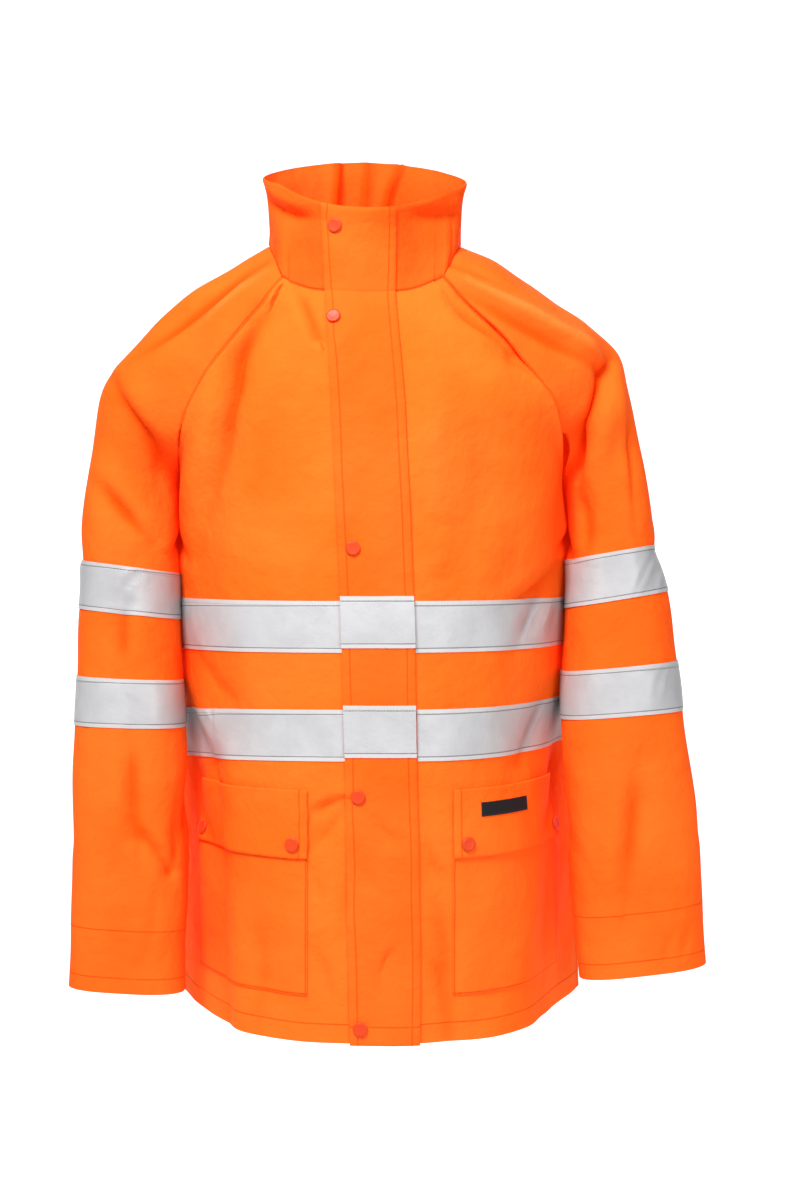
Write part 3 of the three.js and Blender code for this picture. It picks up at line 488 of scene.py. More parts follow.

# Each crease also paints shade into the cloth's colour along its trough, and a highlight along a ridge.
# The creases, as lines on the cloth seen from one side, in metres across and up. Each is a soft
# trough, or a ridge where its depth is negative. lip raises one side of it, the left of the
# line's way where it is positive, and start and end say how much of the depth its ends have.
# A second word after the view limits the crease to the sleeves or the fronts.
# view, depth, width, lip, start, end, line
CREASES = [
    ("front sleeve", .008, .020, .3, .5, .8,
     [(-.264, -.143), (-.253, -.168), (-.223, -.208), (-.203, -.236)]),
    ("front sleeve", .0022, .006, 0, .4, 1,
     [(-.262, -.147), (-.249, -.171), (-.222, -.209), (-.202, -.236)]),
    ("front sleeve", .004, .030, 0, .4, .8, [(-.278, -.19), (-.25, -.222), (-.222, -.258)]),
    ("front sleeve", .0065, .014, .3, .3, .4,
     [(-.284, -.243), (-.261, -.263), (-.238, -.287), (-.22, -.305)]),
    ("front", .005, .016, .2, .3, .2, [(-.247, -.37), (-.25, -.40), (-.249, -.435)]),
    ("front", .006, .018, -.3, .3, .6, [(-.242, -.506), (-.24, -.56), (-.236, -.6)]),
    ("front", .004, .010, .3, .3, .6, [(-.238, -.585), (-.214, -.613), (-.2, -.637)]),
    ("front", .003, .007, 0, .3, .9, [(-.191, -.556), (-.193, -.603), (-.2, -.637)]),
    ("front", .0015, .006, 0, .3, .2, [(-.216, -.65), (-.221, -.702), (-.228, -.729)]),
    ("front sleeve", .012, .020, .3, .9, 1, [(.249, -.116), (.235, -.15), (.214, -.193), (.198, -.236)]),
    ("front sleeve", .0045, .007, 0, .7, 1, [(.247, -.12), (.235, -.15), (.214, -.193), (.199, -.233)]),
    ("front", .005, .018, -.1, .9, .1, [(.207, -.255), (.211, -.28), (.215, -.33)]),
    ("front", .003, .007, -.5, .2, .3, [(.2555, -.144), (.2585, -.2155), (.264, -.3)]),
    ("front", .006, .018, -.3, .3, .5, [(.263, -.53), (.257, -.583), (.249, -.657)]),
    ("front", .0015, .005, 0, .3, .2, [(.316, -.688), (.304, -.725)]),
    ("front", .0015, .005, 0, .3, .2, [(.297, -.693), (.286, -.727)]),
    ("front", .003, .007, -.2, .3, .3,
     [(-.108, -.078), (-.118, -.094), (-.135, -.125), (-.143, -.16), (-.15, -.2)]),
    ("front", .010, .020, -.35, .5, .2,
     [(-.107, -.076), (-.118, -.094), (-.135, -.125), (-.143, -.16), (-.152, -.21), (-.166, -.266),
      (-.178, -.317)]),
    ("front", .004, .012, -.3, .4, .9, [(-.078, -.055), (-.066, -.075), (-.053, -.108)]),
    ("front front", .005, .018, -.1, .4, .7,
     [(.0753, -.06), (.096, -.0835), (.1207, -.1022), (.138, -.12)]),
    ("front", .003, .016, -.1, .4, .5, [(.1256, -.1239), (.1443, -.1318), (.16, -.143)]),
    ("front front", .0035, .022, .3, .4, 1, [(-.156, -.5), (-.152, -.62), (-.147, -.8)]),
    ("front front", .0035, .022, -.3, .2, 1, [(.178, -.56), (.176, -.65), (.172, -.8)]),
    ("front", .003, .008, .3, .3, .6, [(-.0585, -.572), (-.046, -.5625), (-.03, -.5556)]),
    ("front", .0025, .007, 0, .4, .5, [(-.062, -.606), (-.045, -.588), (-.026, -.562)]),
    ("front", .0025, .007, 0, .3, .3, [(-.0235, -.62), (-.026, -.655), (-.03, -.694)]),
    ("front", .002, .007, 0, .5, .3, [(-.0585, -.626), (-.050, -.642), (-.044, -.665)]),
    ("front", -.005, .009, 0, .6, .3, [(-.112, -.004), (-.1756, -.035), (-.2327, -.084), (-.262, -.128)]),
    ("front", .006, .011, 0, .5, .3,
     [(-.1087, -.02), (-.1617, -.0595), (-.2096, -.0962), (-.2504, -.1258)]),
    ("front", -.004, .010, 0, .6, .3, [(-.108, -.036), (-.1397, -.0615), (-.18, -.0938)]),
    ("front", -.0055, .009, 0, .6, .9, [(.095, -.045), (.146, -.0725), (.187, -.094), (.24, -.1165)]),
    ("front", .005, .011, 0, .5, .5, [(.088, -.055), (.14, -.086), (.187, -.112), (.235, -.13)]),
    ("front", .0025, .006, 0, 1, .2, [(.079, -.026), (.102, -.035), (.132, -.049)]),
    ("front", .0025, .007, 0, .2, .5, [(-.18, -.418), (-.157, -.450), (-.138, -.463)]),
    ("front front", .006, .018, .5, .6, .5, [(-.197, -.468), (-.179, -.5), (-.164, -.53)]),
    ("front", .003, .009, 0, .3, .3, [(.172, -.352), (.157, -.384), (.143, -.412)]),
    ("front", .002, .006, 0, .3, .3, [(.188, -.36), (.175, -.409)]),
    ("front", .004, .010, 0, .5, .6, [(.174, -.46), (.16, -.493), (.146, -.528)]),
    ("front", .002, .006, 0, .3, .3, [(.188, -.47), (.172, -.518)]),
    ("front", .004, .013, -.2, .9, .1, [(.193, -.325), (.164, -.353), (.132, -.369)]),
    ("front", .003, .03, 0, .1, .1, [(-.107, -.171), (-.112, -.268), (-.107, -.345)]),
    ("front", .003, .03, 0, .1, .1, [(.095, -.15), (.103, -.239), (.095, -.345)]),
    ("front", -.003, .03, 0, .1, .1, [(.06, -.12), (.058, -.239), (.06, -.345)]),
    ("front", .0025, .016, 0, .2, .6, [(-.118, -.659), (-.106, -.712), (-.113, -.775)]),
    ("front", .004, .018, 0, .2, .9, [(.056, -.636), (.069, -.695), (.074, -.785)]),
    ("front", .0018, .009, .2, .2, .3, [(.004, -.575), (.018, -.592), (.034, -.598)]),
    ("front", .0016, .008, 0, .3, .2, [(-.018, -.605), (-.006, -.63), (.012, -.648)]),
    ("front", .0018, .009, -.2, .2, .3, [(.026, -.69), (.012, -.712), (.006, -.735)]),
    ("front", .0022, .010, .2, .3, .3, [(.052, -.59), (.062, -.62), (.078, -.645)]),
    ("front", .0018, .008, 0, .2, .3, [(.05, -.70), (.064, -.725), (.066, -.76)]),
    ("front", .0018, .009, .2, .3, .2, [(-.055, -.70), (-.04, -.73), (-.036, -.765)]),
    ("front", .0016, .010, 0, .3, .2, [(.05, -.285), (.075, -.292), (.098, -.288)]),
    ("front", .0014, .009, 0, .2, .2, [(.048, -.335), (.07, -.343), (.09, -.338)]),
    ("back", .006, .018, .2, .3, .2, [(-.15, -.11), (-.12, -.21), (-.128, -.33)]),
    ("back", .006, .018, -.2, .3, .2, [(.14, -.11), (.118, -.2), (.124, -.31)]),
    ("back", .004, .022, 0, .1, .6, [(-.04, -.43), (-.02, -.56), (-.032, -.7)]),
    ("back", .004, .022, 0, .1, .6, [(.07, -.48), (.088, -.6), (.08, -.74)]),
    ("back", .008, .018, .3, .8, .8, [(-.262, -.15), (-.24, -.2), (-.212, -.24)]),
    ("back", .008, .018, -.3, .8, .8, [(.25, -.14), (.23, -.19), (.205, -.235)]),
    ("back", .005, .013, .2, .2, .5, [(-.3, -.34), (-.262, -.372), (-.215, -.39)]),
    ("back", .005, .013, -.2, .2, .5, [(.3, -.35), (.262, -.38), (.21, -.4)]),
    ("back", .004, .014, 0, .1, .2, [(-.25, -.5), (-.26, -.6), (-.24, -.68)]),
    ("back", .004, .014, 0, .1, .2, [(.27, -.5), (.275, -.6), (.26, -.68)]),
    ("back", .0025, .008, 0, 1, .2, [(-.08, 0), (-.1, -.03), (-.13, -.06)]),
    ("back", .0025, .008, 0, 1, .2, [(.06, 0), (.085, -.03), (.11, -.06)]),
    ("right", .004, .013, .2, .1, .1, [(.05, -.28), (-.01, -.31), (-.06, -.33)]),
    ("right", .004, .015, 0, .1, .1, [(.02, -.5), (-.03, -.58), (-.08, -.62)]),
    ("left", .004, .013, -.2, .1, .1, [(.05, -.27), (-.01, -.3), (-.06, -.32)]),
    ("left", .004, .015, 0, .1, .1, [(.02, -.49), (-.03, -.57), (-.08, -.61)]),
]
VIEWS = {"front": (0, 1, -1), "back": (0, 1, 1), "right": (1, 0, -1), "left": (1, 0, 1)}
STEEP_SIDE = 0.4
CREASE_DEEPER = 1.5
FULL_SHADE_DEPTH = 0.006
SHADE_NARROW = 0.014
UNEVEN_HEIGHT = 0.0009
UNEVEN_LENGTHS = (0.045, 0.17)
UNEVEN_WAVES = 40


def smooth_line(line):
    """A smooth curve through a few points."""
    corners = np.array(line, float)
    places = np.linspace(0, len(corners) - 1, 8 * (len(corners) - 1) + 1)
    curve = read({"a": corners[:, 0], "b": corners[:, 1]}, places)
    return np.stack([curve["a"], curve["b"]], axis=1)


def beside(flat, line):
    """How far points lie from a line, on which side of it, and how far along it."""
    step = np.diff(line, axis=0)
    length = np.linalg.norm(step, axis=1)
    relative = flat[:, None] - line[:-1]
    f = np.clip((relative * step).sum(2) / length ** 2, 0, 1)
    distance = np.linalg.norm(relative - f[..., None] * step, axis=2)
    nearest = distance.argmin(1)
    chosen = (np.arange(len(flat)), nearest)
    side = np.sign(step[nearest, 0] * relative[chosen][:, 1] - step[nearest, 1] * relative[chosen][:, 0])
    along = (np.cumsum(length) - length)[nearest] + f[chosen] * length[nearest]
    return distance[chosen], side, along / length.sum()


def sink(points, normals, creases, kind):
    """How deep the creases lie at each point, and how much light they keep from it, as painted shade along
    a trough and painted highlight along a ridge.
    """
    depth = np.zeros(len(points))
    shade = np.zeros(len(points))
    for view, deep, width, lip, start, end, line in creases:
        view, _, only = view.partition(" ")
        if only and only != kind:
            continue
        axis, facing_axis, way = VIEWS[view]
        facing = smoothstep(way * normals[:, facing_axis], 0.1, 0.6)
        line = smooth_line(line)
        flat = points[:, [axis, 2]]
        margin = 4 * width
        close = (facing > 0) & (flat > line.min(0) - margin).all(1) & (flat < line.max(0) + margin).all(1)
        if not close.any():
            continue
        distance, side, along = beside(flat[close], line)
        towards_lip = distance * side * np.sign(lip)
        reach = width * np.where(towards_lip > 0, STEEP_SIDE, 1)
        trough = np.exp(-np.abs(distance / reach) ** 1.6)
        raised = abs(lip) * np.exp(-((towards_lip - width) / (0.75 * width)) ** 2)
        fade = start + (1 - start) * smoothstep(along, 0, 0.4)
        fade *= end + (1 - end) * (1 - smoothstep(along, 0.55, 1))
        depth[close] += CREASE_DEEPER * deep * fade * (trough - raised) * facing[close]
        hold = min(1, abs(deep) / FULL_SHADE_DEPTH) * min(1, SHADE_NARROW / width) * fade * facing[close]
        shade[close] += math.copysign(1, deep) * hold * np.exp(-(distance / (0.55 * reach)) ** 2)
    return depth, np.clip(shade, -1, 1)


def unevenness(points, seed):
    """A gentle swell over the cloth that depends only on the place, the same in every run."""
    chance = np.random.default_rng(seed)
    ways = unit(chance.normal(size=(UNEVEN_WAVES, 3)) * (1, 1, 0.6))
    lengths = chance.uniform(*UNEVEN_LENGTHS, UNEVEN_WAVES)
    turns = chance.uniform(0, 2 * math.pi, UNEVEN_WAVES)
    waves = np.sin(points @ (ways * 2 * math.pi / lengths[:, None]).T + turns)
    return waves.sum(1) * math.sqrt(2 / UNEVEN_WAVES)


def crumple(panel, creases, kind="", seed=5, lift=UNEVEN_HEIGHT):
    shape = panel.points.shape
    points, normals = panel.points.reshape(-1, 3), panel.normals.reshape(-1, 3)
    depth, shade = sink(points, normals, creases, kind)
    move = lift * unevenness(points, seed) - depth
    panel.points = (points + normals * move[:, None]).reshape(shape)
    panel.painted_fold_lights = np.clip(panel.painted_fold_lights + shade.reshape(shape[:2]), -1, 1)


weld(panels.values())
for name, panel in panels.items():
    crumple(panel, CREASES, name.split("_")[0])
    panel.find_normals()


# The collar: two layers of the cloth, turned at the rim, standing on the neck edges of all five
# panels. It stands open at the top, its right corner rolls outwards, and its back is softly folded.
COLLAR_THICKNESS = 0.002
COLLAR_ROWS = 34
RIM = [(-.014, -.106, .023), (-.092, -.060, .057), (-.081, .042, .097), (.063, .042, .094),
       (.0755, -.05, .052), (-.014, -.106, .023)]
RIM_BOWS = {
    "sleeve_right": (-.110, -.008, .076),
    "back": (-.01, .062, .107),
    "sleeve_left": (.092, -.008, .071),
}
RIM_FRONT_BOW = (0, -.052, -.034)
RIM_SMOOTHING = 14
COLLAR_ROLL = 0.005
COLLAR_ROLL_WIDTH = 0.014
COLLAR_CREASES = [
    ("front", .0048, .010, .6, 1, .15, [(-.112, .047), (-.094, .031), (-.075, .021), (-.053, .015)]),
    ("front", .0028, .011, .5, .1, .9, [(.03, .026), (.057, .023), (.092, .031)]),
    ("back", .006, .009, .3, .8, .8, [(-.04, .105), (-.044, .06), (-.04, .02)]),
    ("back", .005, .008, 0, .8, .8, [(-.008, .11), (-.012, .06), (-.012, .02)]),
    ("back", .005, .009, .3, .8, .8, [(.026, .1), (.012, .06), (.016, .02)]),
    ("front", .0015, .010, 0, .3, .3, [(-.066, -.002), (-.06, -.04)]),
    ("front", .0015, .012, 0, .3, .3, [(.045, -.002), (.05, -.035)]),
]


def collar_panel():
    order = ["front_right", "sleeve_right", "back", "sleeve_left", "front_left"]
    neck, rim = [], []
    for k, name in enumerate(order):
        edge = panels[name].points[0]
        start, end = np.array(RIM[k]), np.array(RIM[k + 1])
        f = np.linspace(0, 1, len(edge))[:, None]
        straight = start + (end - start) * f
        if name in RIM_BOWS:
            straight += 4 * f * (1 - f) * (np.array(RIM_BOWS[name]) - (start + end) / 2)
        else:
            straight += f * (1 - f) * np.array(RIM_FRONT_BOW)
        keep = slice(0 if k == 0 else 1, None)
        neck.append(edge[keep])
        rim.append(straight[keep])
    neck, rim = np.concatenate(neck), np.concatenate(rim)
    for _ in range(RIM_SMOOTHING):
        rim[1:-1] = 0.5 * rim[1:-1] + 0.25 * (rim[:-2] + rim[2:])
    f = np.linspace(0, 1, COLLAR_ROWS + 1)[:, None, None]
    return Panel(rim + (neck - rim) * f)


panels["collar"] = collar_panel()
crumpled = Panel(panels["collar"].points.copy())
crumple(crumpled, COLLAR_CREASES)
settle = smoothstep(np.linspace(1, 0, COLLAR_ROWS + 1), 0, 0.2)[:, None, None]
panels["collar"].points += (crumpled.points - panels["collar"].points) * settle
panels["collar"].painted_fold_lights = crumpled.painted_fold_lights
roll = COLLAR_ROLL * np.exp(-(panels["collar"].down() / COLLAR_ROLL_WIDTH) ** 1.5)
panels["collar"].points += panels["collar"].normals * (1, 1, 0) * roll[..., None]
panels["collar"].find_normals()
weld(panels.values())


# Sewing the cut pieces into walls of cloth. Every piece is a closed shell whose edges are
# drawn back a little from its seams, and it carries its own map of distances in metres.
SEAM_SINK = 0.0004
SEAM_SINK_WIDTH = 0.0018


def draw_back(points, gap):
    moved = points.copy()

    def towards(edge, inner):
        moved[edge] += unit(points[inner] - points[edge]) * gap / 2

    towards(np.s_[0], np.s_[1])
    towards(np.s_[-1], np.s_[-2])
    towards(np.s_[:, 0], np.s_[:, 1])
    towards(np.s_[:, -1], np.s_[:, -2])
    return moved


def wall(name, panel, thickness, finish, gap=SEAM_GAP, rounding=0.0):
    """A closed shell between the panel's outer face and one a thickness below it."""
    rows, columns = panel.points.shape[:2]
    across, down = panel.across(), panel.down()
    side_edge = np.minimum(across, across[:, -1:] - across)
    foot = down[-1:] - down
    outer = draw_back(panel.points, gap)
    inner = outer - panel.normals * thickness
    if rounding:
        nearest = np.minimum(side_edge, np.minimum(foot, down))
        drop = rounding * (1 - np.sqrt(1 - (1 - np.clip(nearest / rounding, 0, 1)) ** 2))
        outer = outer - panel.normals * drop[..., None]
    index = np.arange(rows * columns).reshape(rows, columns)
    quads = np.stack([index[:-1, :-1], index[:-1, 1:], index[1:, 1:], index[1:, :-1]], -1).reshape(-1, 4)
    border = np.concatenate([index[0, :-1], index[:-1, -1], index[-1, :0:-1], index[:0:-1, 0]])
    following = np.roll(border, -1)
    under = rows * columns
    rim = np.stack([border, border + under, following + under, following], axis=-1)
    faces = np.concatenate([quads, quads[:, ::-1] + under, rim])
    mesh = bpy.data.meshes.new(name)
    mesh.from_pydata(np.concatenate([outer.reshape(-1, 3), inner.reshape(-1, 3)]), [], faces)
    corners = np.concatenate([np.arange(under), np.arange(under)])[faces.reshape(-1)]
    maps = {"cloth": np.stack([across, down], -1), "edges": np.stack([side_edge, foot], -1)}
    for title, values in maps.items():
        layer = mesh.uv_layers.new(name=title)
        layer.data.foreach_set("uv", values.reshape(-1, 2)[corners].astype(np.float32).ravel())
    # The painted shade and highlight of the creases, read by the finishes
    painted_fold_lights = mesh.attributes.new("painted_fold_light", "FLOAT", "POINT")
    painted_fold_lights.data.foreach_set("value", np.tile(panel.painted_fold_lights.ravel(), 2).astype(np.float32))
    mesh.shade_smooth()
    mesh.set_sharp_from_angle(angle=math.radians(50))
    mesh.materials.append(finish)
    piece = bpy.data.objects.new(name, mesh)
    scene.collection.objects.link(piece)
    return piece


def seam_lines(panel, seams):
    """The cloth dips where it is sewn. seams names the edges: top, foot, first or last."""
    across, down = panel.across(), panel.down()
    ways = {"top": down, "foot": down[-1:] - down, "first": across, "last": across[:, -1:] - across}
    for edge in seams:
        dip = SEAM_SINK * np.exp(-(ways[edge] / SEAM_SINK_WIDTH) ** 2)
        panel.points = panel.points - panel.normals * dip[..., None]


class Wire:
    """What comes out of a socket in a finish. Sums on it add Math nodes."""

    def __init__(self, finish, socket):
        self.finish = finish
        self.socket = socket

    def output(self, name):
        """Another output of the node that this one comes from."""
        return Wire(self.finish, self.socket.node.outputs[name])

    def reckon(self, operation, *others):
        return self.finish.reckon(operation, self, *others)

    def __add__(self, other):
        return self.reckon("ADD", other)

    def __sub__(self, other):
        return self.reckon("SUBTRACT", other)

    def __rsub__(self, other):
        return self.finish.reckon("SUBTRACT", other, self)

    def __mul__(self, other):
        return self.reckon("MULTIPLY", other)

    __radd__ = __add__
    __rmul__ = __mul__


class Finish:
    """A material: its shader, and one way of adding any other node."""

    def __init__(self, name, constants):
        self.material = bpy.data.materials.new(name)
        self.material.use_nodes = True
        self.tree = self.material.node_tree
        self.shader = self.tree.nodes["Principled BSDF"]
        self.set(constants)

    def set(self, values):
        for name, value in values.items():
            self.feed(self.shader.inputs[name], value)

    def feed(self, socket, value):
        if isinstance(value, Wire):
            self.tree.links.new(value.socket, socket)
        else:
            socket.default_value = value

    def node(self, kind, settings=None, values=None, output=0):
        node = self.tree.nodes.new(kind)
        for key, value in (settings or {}).items():
            setattr(node, key, value)
        for key, value in (values or {}).items():
            self.feed(node.inputs[key], value)
        return Wire(self, node.outputs[output])

    def reckon(self, operation, *values):
        return self.node("ShaderNodeMath", {"operation": operation}, dict(enumerate(values)))

    def map(self, name):
        """The two coordinates of one of a piece's maps, in metres."""
        place = self.node("ShaderNodeUVMap", {"uv_map": name})
        first = self.node("ShaderNodeSeparateXYZ", None, {0: place})
        return first, first.output("Y")

    def noise(self, place, scale, detail=3.0, roughness=0.5):
        return self.node("ShaderNodeTexNoise", None, {
            "Vector": place, "Scale": scale, "Detail": detail, "Roughness": roughness})

    def object_place(self):
        return self.node("ShaderNodeTexCoord", None, None, "Object")

    def blend(self, factor, first, second):
        """From the first colour to the second by a factor."""
        return self.node("ShaderNodeMix", {"data_type": "RGBA"}, {0: factor, 6: first, 7: second}, 2)

    def span(self, value, low, high, at_low=0.0, at_high=1.0):
        """A smooth step from at_low to at_high as a value goes from low to high."""
        return self.node("ShaderNodeMapRange", {"interpolation_type": "SMOOTHSTEP"},
                         {0: value, 1: low, 2: high, 3: at_low, 4: at_high})

    def line(self, value, at, half_width):
        """1 on a line where a value is at a given number, fading to 0 beside it."""
        return self.span((value - at).reckon("ABSOLUTE"), 0.0, half_width, 1.0, 0.0)

    def bump(self, height, distance, strength=1.0, normal=None):
        values = {"Height": height, "Distance": distance, "Strength": strength}
        if normal is not None:
            values["Normal"] = normal
        return self.node("ShaderNodeBump", None, values)


LIT_ORANGE = (1.0, 0.150, 0.016, 1)
DEEP_ORANGE = (1.0, 0.128, 0.011, 1)
THREAD_SHADOW = (0.62, 0.055, 0.002, 1)
# Painted shade for the creases and a painted highlight for the ridges
FOLD_SHADE = (0.80, 0.055, 0.001, 1)
RIDGE_LIGHT = (1.0, 0.26, 0.06, 1)
GLOW = (1.0, 0.05, 0.0, 1)
GLOW_STRENGTH = 0.08
FOLD_MIX = 0.8
RIDGE_MIX = 0.35
THREAD_MIX = 0.55
WEAVE_PITCH = 0.0006
SEAM_STITCH = 0.0012
# Painted shade: the sleeves and the collar are darker copies of the same cloth, for the dimmer light on
# them
SLEEVE_PAINTED_SHADE = 0.86
COLLAR_PAINTED_SHADE = 0.74


def orange_cloth(name, side_lines=(), foot_lines=(), shade_tone=1.0, line_half_width=0.0011):
    """Coated orange cloth, with painted shade in its creases and painted highlight on its ridges; a tone
    below 1 darkens a copy as painted shade. The lines are rows of stitching, by distance from an edge, with
    painted shadow along them.
    """
    finish = Finish(name, {
        "Specular IOR Level": 0.004, "Emission Color": GLOW, "Emission Strength": GLOW_STRENGTH})
    lit, deep = ((red, green * shade_tone, blue * shade_tone, 1) for red, green, blue, _ in (LIT_ORANGE, DEEP_ORANGE))
    place = finish.object_place()
    across, down = finish.map("cloth")
    side, foot = finish.map("edges")
    mottle = finish.noise(place, 9.0, 3.0)
    colour = finish.blend(finish.span(mottle, 0.35, 0.65), lit, deep)
    sewn = None
    for value, places in ((side, side_lines), (foot, foot_lines)):
        for at in places:
            line = finish.line(value, at, line_half_width)
            sewn = line if sewn is None else sewn.reckon("MAXIMUM", line)
    # Painted shade in the creases and painted highlight on the ridges
    painted_fold_light = finish.node("ShaderNodeAttribute", {"attribute_name": "painted_fold_light"}, None, "Fac")
    colour = finish.blend(finish.span(painted_fold_light, 0.0, 1.0) * FOLD_MIX, colour, FOLD_SHADE)
    colour = finish.blend(finish.span(painted_fold_light, 0.0, -1.0) * RIDGE_MIX, colour, RIDGE_LIGHT)
    warp, weft = ((value * (2 * math.pi / WEAVE_PITCH)).reckon("SINE") for value in (across, down))
    crinkle = finish.noise(place, 26.0, 4.0, 0.55)
    fine = finish.noise(place, 150.0, 3.0, 0.6)
    normal = finish.bump(crinkle, 0.006, 0.85)
    normal = finish.bump(fine, 0.0004, 0.5, normal)
    normal = finish.bump(warp * weft, 0.00004, 0.5, normal)
    if sewn is not None:
        colour = finish.blend(sewn * THREAD_MIX, colour, THREAD_SHADOW)
        normal = finish.bump(1 - sewn, 0.0006, 0.8, normal)
    finish.set({"Base Color": colour, "Normal": normal,
                "Roughness": finish.span(fine, 0.3, 0.7, 0.44, 0.56)})
    return finish.material


def dress(piece, slot, *nodes):
    """The piece stands for CAD nodes and rides on the part; slot is not used."""
    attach(piece, "root")
    if nodes:
        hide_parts(*nodes)


HEM_DEPTH = 0.018
CUFF_DEPTH = 0.015
CUFF_SEAM = 0.062
SEAMS = {
    "front_right": ("top", "last"),
    "front_left": ("top", "first"),
    "back": ("top", "first", "last"),
    "sleeve_right": ("top", "first", "last"),
    "sleeve_left": ("top", "first", "last"),
    "collar": ("foot",),
}
COLLAR_ROUNDING = 0.0008
cloths = {
    "front": orange_cloth("orange_cloth_front", (SEAM_STITCH,), (HEM_DEPTH,)),
    "sleeve": orange_cloth("orange_cloth_sleeve", (SEAM_STITCH,), (CUFF_DEPTH, CUFF_SEAM), SLEEVE_PAINTED_SHADE),
    "collar": orange_cloth("orange_cloth_collar", (), (SEAM_STITCH,), COLLAR_PAINTED_SHADE),
}
cloths["back"] = cloths["front"]
for name, panel in panels.items():
    seam_lines(panel, SEAMS[name])
    kind = name.split("_")[0]
    if kind == "collar":
        piece = wall(name, panel, COLLAR_THICKNESS, cloths[kind], 2 * SEAM_GAP, COLLAR_ROUNDING)
    else:
        piece = wall(name, panel, CLOTH, cloths[kind])
    dress(piece, "orange_cloth", name)


# The storm flap: two layers of the cloth over the front opening, from the collar's rim to the
# hem, sewn along the wearer's left edge and closed by snaps along the other.
FLAP_THICKNESS = 0.002
FLAP_STAND_OFF = 0.0017
FLAP_OVERHANG = 0.0015
FLAP_ROUNDING = 0.0009
FLAP_STITCH = 0.008
FLAP_COLUMNS = 34
# Painted shade: the flap is a darker copy of the same cloth
FLAP_PAINTED_SHADE = 0.86
FLAP_EDGES = table("z right left", [
    (-.8, -.021, .046), (-.69, -.023, .046), (-.52, -.026, .043), (-.365, -.03, .04),
    (-.285, -.034, .037), (-.175, -.039, .032), (-.061, -.047, .022), (.04, -.051, .022)])


def column_at(panel, row, x):
    """The column at which a row passes a place across the front."""
    line = panel.at(row, np.arange(panel.points.shape[1]))[:, 0]
    crossing = np.nonzero((line[:-1] - x) * (line[1:] - x) <= 0)[0]
    if len(crossing) == 0:
        return 0.0
    j = crossing[0]
    return j + (x - line[j]) / (line[j + 1] - line[j])


def opening_panel():
    """Both fronts and the collar above them, as one grid."""
    def joined(left, right):
        return np.concatenate([left, right[:, 1:]], axis=1)
    collar = panels["collar"].points[:-1]
    width = panels["front_right"].points.shape[1]
    above = joined(collar[:, -width:], collar[:, :width])
    below = joined(panels["front_left"].points, panels["front_right"].points)
    return Panel(np.concatenate([above, below]))


def flap_columns(row):
    """The columns of the opening that the flap covers at a row."""
    middle = panels["front_right"].points.shape[1] - 1
    z = opening.at(row, middle)[2]
    left, right = (np.interp(z, FLAP_EDGES["z"], FLAP_EDGES[side]) for side in ("left", "right"))
    return np.linspace(column_at(opening, row, left), column_at(opening, row, right), FLAP_COLUMNS + 1)


opening = opening_panel()
opening_rows = np.arange(len(opening.points))
storm_flap = opening.lay(opening_rows, np.array([flap_columns(row) for row in opening_rows]),
                         FLAP_STAND_OFF + FLAP_THICKNESS)
storm_flap.points[-1, :, 2] -= FLAP_OVERHANG
flap_cloth = orange_cloth("orange_cloth_flap", (FLAP_STITCH,), (HEM_DEPTH,), FLAP_PAINTED_SHADE)
piece = wall("storm_flap", storm_flap, FLAP_THICKNESS, flap_cloth, rounding=FLAP_ROUNDING)
dress(piece, "orange_cloth", "storm_flap")


# The reflective tape: silver-grey, 50 mm wide, with whiter borders, sewn along both its edges
# with grey thread. Two rounds go about the body in four lengths each, and two about each sleeve.
TAPE_THICKNESS = 0.0008
TAPE_WIDTH = 0.05
TAPE_UNDER_FLAP = 0.008
FLAP_TAPE_RAISE = 0.0045
TAPE_BORDER = 0.0032
TAPE_BORDER_BLUR = 0.0005
TAPE_TOP_DRAWN_IN = 0.0007
TAPE_STITCH = 0.0042
TAPE_STITCH_DRAWN_IN = 0.0008
TAPE_THREAD = 0.0008
TAPE_SWELL = 0.0001
TAPE_STEP = 0.5
